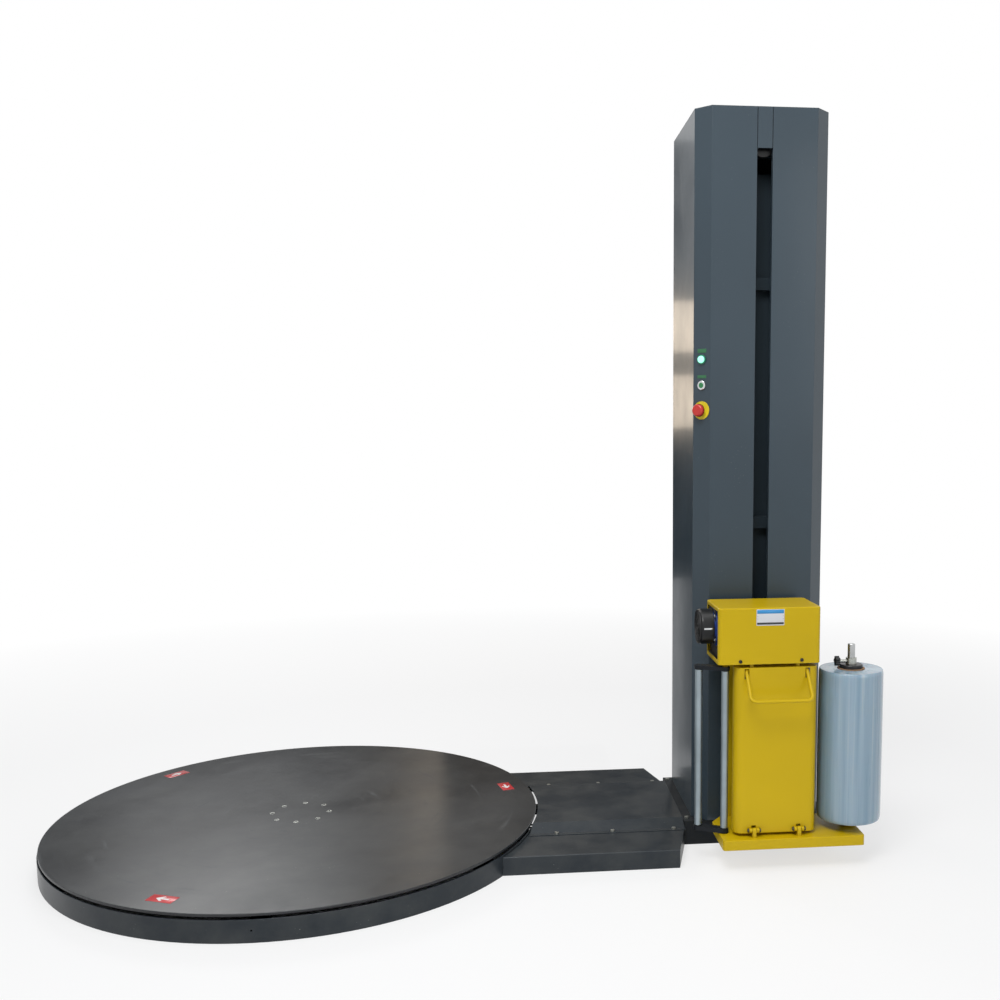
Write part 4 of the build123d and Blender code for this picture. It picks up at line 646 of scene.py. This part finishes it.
for number, degrees in enumerate(STICKER_ANGLES, 1):
    turn = math.radians(degrees)
    spot = (STICKER_CIRCLE * math.cos(turn), STICKER_CIRCLE * math.sin(turn), table_top)
    clockwise = (math.sin(turn), -math.cos(turn), 0)
    place = seat(spot, clockwise, (0, 0, 1))
    set_down(f"arrow_sticker_{number}",
             rounded_plate(STICKER_LONG, STICKER_SHORT, STICKER_THICK, 0.0015, 0.0001),
             place, sticker_red, "turntable")
    set_down(f"arrow_mark_{number}", arrow_outline(), place @ Matrix.Translation((0, 0, STICKER_THICK)),
             sticker_white, "turntable")
print("stickers", len(STICKER_ANGLES))

# %% [markdown]
# ## Table screws
#
# The plate is held to the hub by countersunk screws whose heads lie flush. They are bare zinc, so they
# read as small bright discs with a dark socket.

# %% Countersunk screws over the hub
HUB_SCREW_CIRCLE = 0.098
HUB_SCREWS, SUNK = 8, 0.0006
hub_seats = []
for n in range(HUB_SCREWS):
    turn = math.tau * n / HUB_SCREWS
    spot = (HUB_SCREW_CIRCLE * math.cos(turn), HUB_SCREW_CIRCLE * math.sin(turn), table_top - SUNK)
    hub_seats.append(seat(spot, (1, 0, 0), (0, 0, 1)))
set_down("table_screws", row_of(lambda: socket_screw(0.009, 0.0012, 0.004), hub_seats), STILL, zinc_plate,
         "turntable")
print("table screws", len(hub_seats))

# %% [markdown]
# ## Blank plates by the controls
#
# The corner of the mast carries a lamp, a start button and a mushroom stop button; the lamp and the
# start button each sit under a small coloured plate. The plates are left blank. All sit on the mast's
# slanted corner, so one seat on that face, moved up or down, places every one of them.

# %% Plates and rings on the slanted corner
lamp_low, lamp_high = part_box("power_lamp")
button_low, button_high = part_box("button_bezel")
stop_low, stop_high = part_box("estop_collar")
corner_out = Vector((-1, -1, 0)).normalized()
corner_across = Vector((1, -1, 0)).normalized()
mast_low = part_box("mast_left_shell")[0]
CORNER_CUT = 0.048


def on_corner(height, lift=0.0):
    """A seat on the middle of the slanted corner at a height."""
    middle = Vector((mast_low.x + CORNER_CUT / 2, mast_low.y + CORNER_CUT / 2, height))
    return seat(middle + corner_out * lift, corner_across, corner_out)


plate_green = moulded("plate_green", rgba(34, 98, 58), 0.4, coat=0.2, dust=0.04)
ring_green = moulded("ring_green", rgba(16, 96, 74), 0.3, coat=0.3, dust=0.0)
LABEL_ABOVE, LABEL_WIDE = 0.028, 0.034
LAMP_HEIGHT = (lamp_low.z + lamp_high.z) / 2
BUTTON_HEIGHT = (button_low.z + button_high.z) / 2
STOP_HEIGHT = (stop_low.z + stop_high.z) / 2
for name, height, tall in (("lamp_plate", LAMP_HEIGHT, 0.013), ("button_plate", BUTTON_HEIGHT, 0.010)):
    set_down(name, rounded_plate(LABEL_WIDE, tall, 0.0008, 0.0012, 0.0003), on_corner(height + LABEL_ABOVE),
             plate_green, "base")


def ring(inner, outer, height, steps=40):
    """A flat ring: one small square section spun round Z."""
    shape = bmesh.new()
    corners = [(inner, 0), (outer, 0), (outer, height), (inner, height)]
    section = [shape.verts.new((x, 0, z)) for x, z in corners]
    edges = [shape.edges.new((section[i], section[(i + 1) % 4])) for i in range(4)]
    bmesh.ops.spin(shape, geom=section + edges, cent=(0, 0, 0), axis=(0, 0, 1), angle=math.tau, steps=steps,
                   use_merge=True)
    bmesh.ops.remove_doubles(shape, verts=shape.verts, dist=1e-6)
    bmesh.ops.recalc_face_normals(shape, faces=shape.faces)
    return shape


corner_middle = on_corner(STOP_HEIGHT).translation
STOP_FACE = Vector((corner_middle.x - stop_low.x, corner_middle.y - stop_low.y, 0)).length / 2
CORNER_SCREW_HEIGHTS = (0.552, 0.603)
set_down("lamp_ring", ring(0.0122, 0.0165, 0.0042), on_corner(LAMP_HEIGHT), ring_green, "base")
set_down("stop_ring_lip", ring(0.0286, 0.0300, 0.0026), on_corner(STOP_HEIGHT), yellow_plastic, "base")
set_down("stop_centre_ring", ring(0.0120, 0.0215, 0.0011), on_corner(STOP_HEIGHT, STOP_FACE),
         black_plastic, "base")
set_down("button_surround", ring(0.0116, 0.0158, 0.0016), on_corner(BUTTON_HEIGHT), black_plastic, "base")
corner_screws = [on_corner(height) for height in CORNER_SCREW_HEIGHTS]
set_down("corner_screws", row_of(lambda: socket_screw(0.0034, 0.0016, 0.0011), corner_screws), STILL,
         zinc_plate, "base")
print("plates, rings and screws on the corner")

# %% [markdown]
# ## The motor box's rating plate and screws
#
# A printed aluminium plate is riveted to the front of the yellow box. Its lettering is left off, and
# the coloured bands that such plates have are kept. Two black screws hold the box at its foot.

# %% Rating plate, box screws
box_low, box_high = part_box("motor_box")
plate_white = moulded("plate_face", rgba(206, 208, 212), 0.35, drift=0.05, dust=0.03)
plate_blue = moulded("plate_blue_band", rgba(48, 138, 196), 0.35, drift=0.05, dust=0.03)
plate_dark = moulded("plate_dark_band", rgba(26, 30, 34), 0.35, drift=0.05, dust=0.03)
PLATE_X, PLATE_Z = 1.5540, 0.8270
PLATE_WIDE, PLATE_TALL, PLATE_THICK = 0.090, 0.052, 0.0007
BOX_SCREWS = ((1.459, 0.687), (1.658, 0.688))


def on_front(x, z, y):
    return seat((x, y, z), *ON_FRONT)


set_down("rating_plate", rounded_plate(PLATE_WIDE, PLATE_TALL, PLATE_THICK, 0.0015, 0.0002),
         on_front(PLATE_X, PLATE_Z, box_low.y), plate_white, "carriage")
band_y = box_low.y - PLATE_THICK
for name, tall, top, finish, slot in (
        ("rating_plate_band", 0.0120, PLATE_TALL / 2 - 0.0015, plate_blue, "chrome"),
        ("rating_plate_foot", 0.0065, -PLATE_TALL / 2 + 0.0100, plate_dark, "black_plastic")):
    set_down(name, rounded_plate(PLATE_WIDE - 0.004, tall, 0.0002, 0.0008, 0.00005),
             on_front(PLATE_X, PLATE_Z + top - tall / 2, band_y), finish, "carriage")
rivets = [on_front(PLATE_X + sx * (PLATE_WIDE / 2 - 0.004), PLATE_Z + sz * 0.0045, band_y)
          for sx in (-1, 1) for sz in (-1, 1)]
set_down("rating_plate_rivets", row_of(lambda: socket_screw(0.0013, 0.0008, 0.0003), rivets), STILL,
         zinc_plate, "carriage")
box_seats = [on_front(x, z, box_low.y) for x, z in BOX_SCREWS]
set_down("box_screws", row_of(lambda: socket_screw(0.0056, 0.0036, 0.0026), box_seats), STILL, black_iron,
         "carriage")
print("rating plate and", len(box_seats), "screws")

# %% [markdown]
# ## The motor's fan cowl
#
# The stretch motor looks out of the box's open end: a black fan cowl behind a guard of rings, and a blue
# flange with four zinc screws. Black plates round the flange are painted shade: they darken the inside
# of the open end as its shadow would. The rings are spun sections and the spokes are thin plates.

# %% Cowl guard, flange screws, black plates of painted shade
cowl_low, cowl_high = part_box("motor_cowl")
motor_y = (cowl_low.y + cowl_high.y) / 2
motor_z = (cowl_low.z + cowl_high.z) / 2
cowl_radius = (cowl_high.z - cowl_low.z) / 2
cowl_face = seat((cowl_low.x + 0.0005, motor_y, motor_z), *ON_END)
guard = bmesh.new()
RING_COUNT, BAR_COUNT, WIRE = 6, 8, 0.0011
for n in range(RING_COUNT):
    radius = cowl_radius * (0.16 + 0.78 * n / (RING_COUNT - 1))
    join(guard, ring(radius - WIRE, radius + WIRE, 0.0026, 36), STILL)
for n in range(BAR_COUNT):
    bar = rounded_plate(cowl_radius * 0.80, 0.0016, 0.0018, 0.0006, 0.0004)
    bmesh.ops.translate(bar, vec=(cowl_radius * 0.52, 0, 0), verts=bar.verts)
    join(guard, bar, Matrix.Rotation(math.tau * n / BAR_COUNT, 4, "Z"))
set_down("cowl_guard", guard, cowl_face, black_iron, "carriage")

FLANGE_FACE = box_low.x + 0.002
FLANGE_SCREW_OUT = 0.038
flange_seats = [seat((FLANGE_FACE, motor_y + sy * FLANGE_SCREW_OUT, motor_z + sz * FLANGE_SCREW_OUT), *ON_END)
                for sy in (-1, 1) for sz in (-1, 1)]
set_down("flange_screws", row_of(lambda: hex_head(0.0050, 0.0050), flange_seats), STILL, zinc_plate,
         "carriage")
# A black plate painted as the shade inside the box's open end, round the flange; a strip of the blue flange
# is left in view.
SHADE_PLATE_HALF, BLUE_STRIP = 0.057, 0.012
shade_plate = rounded_plate(2 * SHADE_PLATE_HALF - BLUE_STRIP, 2 * SHADE_PLATE_HALF, 0.0016, 0.014, 0.0003)
shade_plate_seat = seat((box_low.x + 0.0012, motor_y + BLUE_STRIP / 2, motor_z), *ON_END)
set_down("flange_shade_plate", shade_plate, shade_plate_seat, black_iron, "carriage")
# A black panel a little inside the open end is painted shade: it darkens the inside of the box.
SHEET, SHADE_PANEL_INSIDE = 0.005, 0.013
box_middle, box_span = (box_low + box_high) / 2, box_high - box_low
shade_panel = rounded_plate(box_span.y - 2 * SHEET, box_span.z - 2 * SHEET, 0.0012, 0.001, 0.0003)
shade_panel_seat = seat((box_low.x + SHADE_PANEL_INSIDE, box_middle.y, box_middle.z), *ON_END)
set_down("box_shade_panel", shade_panel, shade_panel_seat, black_iron, "carriage")
cowl_plate_seat = seat((cowl_low.x + 0.024, cowl_low.y + 0.0004, motor_z + 0.001), *ON_FRONT)
set_down("cowl_side_plate", rounded_plate(0.030, 0.0055, 0.0012, 0.0010, 0.0004), cowl_plate_seat,
         chrome_plate, "carriage")
print("cowl guard with", RING_COUNT, "rings")

# %% [markdown]
# ## Hinge bolts, latch tabs and roller ends
#
# The film door turns on two short pins at its foot, and each pin ends in a hexagon head. Two tabs
# stand between the door's top and the box. The two bare rollers turn on screws, and black rings close
# both ends of each tube.

# %% Door and roller hardware
HINGE_Y, HINGE_Z = -0.485, 0.133
HINGE_XS = (1.509, 1.657)
PIN_REACH = 0.018
hinge_seats = [seat((x + side * PIN_REACH, HINGE_Y, HINGE_Z), (0, 0, 1), (side, 0, 0)) for x in HINGE_XS
               for side in (-1, 1)]
set_down("hinge_bolts", row_of(lambda: hex_head(0.0058, 0.0040), hinge_seats), STILL, hinge_iron,
         "carriage")

door_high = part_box("film_door")[1]
STOP_XS, STOP_BACK, STOP_PLAY = (1.500, 1.650), 0.030, 0.0003
tab_tall = box_low.z - door_high.z - 2 * STOP_PLAY
tab_seats = [seat((x, door_high.y - STOP_BACK, door_high.z + STOP_PLAY), (1, 0, 0), (0, 0, 1))
             for x in STOP_XS]
set_down("door_stops", row_of(lambda: rounded_plate(0.012, 0.014, tab_tall, 0.002, 0.0006), tab_seats),
         STILL, yellow_paint, "carriage")

for name in ("guide_roller", "dancer_roller"):
    low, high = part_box(name)
    middle = (low + high) / 2
    radius = (high.x - low.x) / 2
    caps = bmesh.new()
    for z, out in ((high.z, 1), (low.z, -1)):
        where = seat((middle.x, middle.y, z - out * 0.0012), (1, 0, 0), (0, 0, out))
        join(caps, ring(0.0052, radius * 0.985, 0.0020, 32), where)
    set_down(f"{name}_end_rings", caps, STILL, black_plastic, name)
print("hinge bolts, stops and roller ends")

# %% [markdown]
# ## The roll of film
#
# A roll of stretch film is wound with slightly uneven tension, so its side has faint rings and its
# ends are not flat: the layers stand in and out by a few tenths of a millimetre. One profile holds
# all of it, with a small random step for each group of layers, and a spin turns it into the roll.
# It stands for the frame's plain solid, and stays inside it.

# %% Wind the film roll
roll_low, roll_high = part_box("film_roll")
roll_radius = (roll_high.x - roll_low.x) / 2
core_radius = (core_high.x - core_low.x) / 2
END_ROUND = 0.0012


def wound_roll(steps=112, layers=30, rings_up=46):
    shape = bmesh.new()
    pulled_in = [random.uniform(0.0, 0.0011) for _ in range(layers)]
    profile = []
    for n in range(layers + 1):
        radius = core_radius + 0.0004 + (roll_radius - 0.004 - core_radius) * n / layers
        profile.append((radius, roll_low.z + pulled_in[min(n, layers - 1)]))
    for n in range(rings_up + 1):
        share = n / rings_up
        dent = random.uniform(0.0, 0.00028) + 0.0006 * abs(share - 0.5) ** 2 * 4
        edge = 0.0022 * max(0.0, 1 - min(share, 1 - share) * 40) ** 2
        height = roll_low.z + END_ROUND + (roll_high.z - roll_low.z - 2 * END_ROUND) * share
        profile.append((roll_radius - 0.0002 - dent - edge, height))
    for n in range(layers + 1):
        radius = roll_radius - 0.004 - (roll_radius - 0.004 - core_radius - 0.0004) * n / layers
        profile.append((radius, roll_high.z - pulled_in[min(n, layers - 1)]))
    verts = [shape.verts.new((r, 0, z)) for r, z in profile]
    edges = [shape.edges.new((verts[i], verts[(i + 1) % len(verts)])) for i in range(len(verts))]
    bmesh.ops.spin(shape, geom=verts + edges, cent=(0, 0, 0), axis=(0, 0, 1), angle=math.tau, steps=steps,
                   use_merge=True)
    bmesh.ops.remove_doubles(shape, verts=shape.verts, dist=1e-7)
    bmesh.ops.recalc_face_normals(shape, faces=shape.faces)
    return shape


roll = set_down("wound_film_roll", wound_roll(), Matrix.Translation((roll_axis.x, roll_axis.y, 0)),
                film_finish, "reel", sharp=math.radians(60))
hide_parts("film_roll")
print("roll radius", round(roll_radius, 4), "faces", len(roll.data.polygons))

# %% [markdown]
# ## Studio, floor and camera
#
# The floor is plain and pale. To the camera it is mixed with white, more and more with distance, so
# that it has no horizon, while close to the machine it keeps the machine's shadow, and under the table
# it is not whitened at all, or the gap round the table would shine. Mirrored and clear rays are mixed
# in the same way, so that metal and film show the backdrop that the camera sees.

# %% Floor
FLOOR_HALF = 30.0
SHADOW_REACH, WHITE_REACH = 2.2, 5.0
SKIRT_REACH = 0.80
FLOOR_DROP = 0.0005


def sharp_rays(tree):
    """One where a ray comes from the camera, a mirror or a clear piece: all see the same backdrop."""
    path = tree.tree.nodes.new("ShaderNodeLightPath")
    rays = {socket.name: socket for socket in path.outputs}
    mirrored = tree.math("ADD", rays["Is Glossy Ray"], rays["Is Transmission Ray"], clamp=True)
    return tree.math("ADD", rays["Is Camera Ray"], mirrored, clamp=True)


def stage_floor():
    mesh = bpy.data.meshes.new("studio_floor")
    floor = bpy.data.objects.new("studio_floor", mesh)
    bpy.context.scene.collection.objects.link(floor)
    shape = bmesh.new()
    bmesh.ops.create_grid(shape, x_segments=1, y_segments=1, size=FLOOR_HALF)
    bmesh.ops.translate(shape, verts=shape.verts, vec=(0, 0, -FLOOR_DROP))
    shape.to_mesh(mesh)
    shape.free()
    material, tree, surface = new_material("studio_floor", Roughness=0.7,
                                           Base_Color=(0.84, 0.84, 0.84, 1.0))
    coords = tree.put("ShaderNodeTexCoord", out=3)
    around_machine = tree.put("ShaderNodeMapping", Vector=coords, Location=(-0.7, 0.0, 0.0))
    distance = tree.put("ShaderNodeVectorMath", out=1, set_operation="LENGTH", in_0=around_machine)
    fade = tree.span(distance, SHADOW_REACH, WHITE_REACH, 0.66, 1.0)
    from_axis = tree.put("ShaderNodeVectorMath", out=1, set_operation="LENGTH", in_0=coords)
    outside = tree.math("GREATER_THAN", from_axis, SKIRT_REACH)
    whiteness = tree.math("MULTIPLY", fade, outside)
    seen = tree.math("MULTIPLY", sharp_rays(tree), whiteness)
    white = tree.put("ShaderNodeEmission", Color=(1.0, 1.0, 1.0, 1.0), Strength=1.0)
    output = next(node for node in material.node_tree.nodes if node.type == "OUTPUT_MATERIAL")
    tree.put("ShaderNodeMixShader", in_0=seen, in_1=surface.outputs[0], in_2=white)
    mixer = next(node for node in material.node_tree.nodes if node.type == "MIX_SHADER")
    material.node_tree.links.new(mixer.outputs[0], output.inputs[0])
    mesh.materials.append(material)
    floor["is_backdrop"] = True


stage_floor()
print("floor reaches", FLOOR_HALF, "m")

# %% [markdown]
# ## Light
#
# A key softbox stands high and in front, so the mast is brightest at its top, and a weaker fill and a
# soft top light open the shadows. Three cards behind the machine are seen only as reflections: one
# lies as a sheen on the near half of the table, and two warm ones as bright bands in the mast's side.

# %% Softboxes and reflection cards
def area_light(name, place, aim, size, power, colour=(1, 1, 1)):
    data = bpy.data.lights.new(name, "AREA")
    data.shape = "RECTANGLE"
    data.size, data.size_y = size
    data.energy = power
    data.color = colour
    lamp = bpy.data.objects.new(name, data)
    bpy.context.scene.collection.objects.link(lamp)
    lamp.location = place
    lamp.rotation_mode = "QUATERNION"
    lamp.rotation_quaternion = (Vector(aim) - Vector(place)).to_track_quat("-Z", "Y")
    return lamp


area_light("key_softbox", (0.2, -2.9, 4.3), (1.1, -0.2, 1.5), (2.0, 1.6), 120)
area_light("fill_softbox", (4.2, -4.4, 2.4), (1.4, 0, 0.7), (2.6, 2.2), 36)
area_light("top_softbox", (0.9, -0.9, 5.4), (0.9, -0.3, 0), (3.4, 3.0), 70)
hidden_cards = (
    area_light("disc_card", (-1.3, 4.0, 2.9), (-0.2, -0.5, 0.1), (1.5, 1.1), 40),
    area_light("upper_warm_card", (0.62, 4.2, 2.16), (0.62, 0, 1.8), (1.1, 0.36), 5.0, (1.0, 0.84, 0.66)),
    area_light("lower_warm_card", (0.62, 4.2, 1.62), (0.62, 0, 1.5), (1.1, 0.38), 4.6, (1.0, 0.84, 0.66)))
for card in hidden_cards:
    card.visible_camera = False
print("softboxes 3, cards", len(hidden_cards))

# %% [markdown]
# ## Flags
#
# Gloss seen at a low angle mirrors its surroundings strongly, and in a white room dark paint turns
# grey. Dark panels behind the machine stop that, as they do in a photographer's studio. Only mirrored
# rays see them, so they cast no shadow and never show themselves.

# %% Dark flags and the world
def dark_flag(name, corners):
    """A flat dark panel that only reflections see. It keeps a glossy side from mirroring white."""
    mesh = bpy.data.meshes.new(name)
    flag = bpy.data.objects.new(name, mesh)
    bpy.context.scene.collection.objects.link(flag)
    shape = bmesh.new()
    shape.faces.new([shape.verts.new(corner) for corner in corners])
    shape.to_mesh(mesh)
    shape.free()
    mesh.materials.append(flag_cloth)
    for rays in ("visible_camera", "visible_diffuse", "visible_shadow", "visible_transmission"):
        setattr(flag, rays, False)
    flag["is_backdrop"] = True


flag_cloth, t, surface = new_material("flag_cloth", Roughness=0.9, Specular_IOR_Level=0.1)
t.feed(surface, "Base_Color", t.mix(t.noise(6.0, 2.0), rgba(18, 19, 21), rgba(30, 31, 33)))
FLAG_FAR, FLAG_NEAR, NEAR_TALL, MAST_SIDE, MAST_BACK = 4.35, 1.0, 0.86, 1.17, 0.26
dark_flag("far_flag", [(x, FLAG_FAR, z) for x, z in ((-4.2, 0.3), (2.2, 0.3), (2.2, 3.5), (-4.2, 3.5))])
dark_flag("near_flag", [(x, FLAG_NEAR, z) for x, z in ((0.45, 0.0), (MAST_SIDE, 0.0), (MAST_SIDE, NEAR_TALL),
                                                       (0.45, NEAR_TALL))])
dark_flag("floor_flag", [(x, y, 0.001) for x, y in ((0.60, MAST_BACK), (MAST_SIDE, MAST_BACK),
                                                    (MAST_SIDE, FLAG_NEAR), (0.60, FLAG_NEAR))])
print("flags set")

world = bpy.data.worlds.new("studio_world")
bpy.context.scene.world = world
world.use_nodes = True
world_tree = Tree(world.node_tree)
world.node_tree.nodes.clear()
soft = world_tree.put("ShaderNodeBackground", Color=(0.88, 0.91, 0.96, 1.0), Strength=0.34)
shown = world_tree.put("ShaderNodeBackground", Color=(1.0, 1.0, 1.0, 1.0), Strength=1.0)
mixed = world_tree.put("ShaderNodeMixShader", in_0=sharp_rays(world_tree), in_1=soft, in_2=shown)
world_tree.put("ShaderNodeOutputWorld", Surface=mixed)
print("lit")

# %% [markdown]
# ## Camera
#
# The camera stands at head height in front of the machine, a little to the left of the mast. Its lens
# is shifted, so that the table and the mast both fit without a second turn of the view.

# %% Camera
CAMERA_PLACE = Vector((0.6831, -3.8521, 1.4166))
CAMERA_AIM = Vector((0.10610, 0.98772, -0.11466))
CAMERA_UP = Vector((0.01568, 0.11364, 0.99340))
camera_data = bpy.data.cameras.new("camera")
camera = bpy.data.objects.new("camera", camera_data)
bpy.context.scene.collection.objects.link(camera)
right = CAMERA_AIM.cross(CAMERA_UP).normalized()
upward = right.cross(CAMERA_AIM).normalized()
axes = Matrix((right, upward, -CAMERA_AIM.normalized())).transposed()
camera.matrix_world = Matrix.Translation(CAMERA_PLACE) @ axes.to_4x4()
camera_data.sensor_width = 36.0
camera_data.lens = 39.76
camera_data.shift_x = -0.110
camera_data.shift_y = 0.0575
bpy.context.scene.camera = camera
bpy.context.scene.view_settings.view_transform = "Standard"

# %% Measure and finish
low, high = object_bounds()
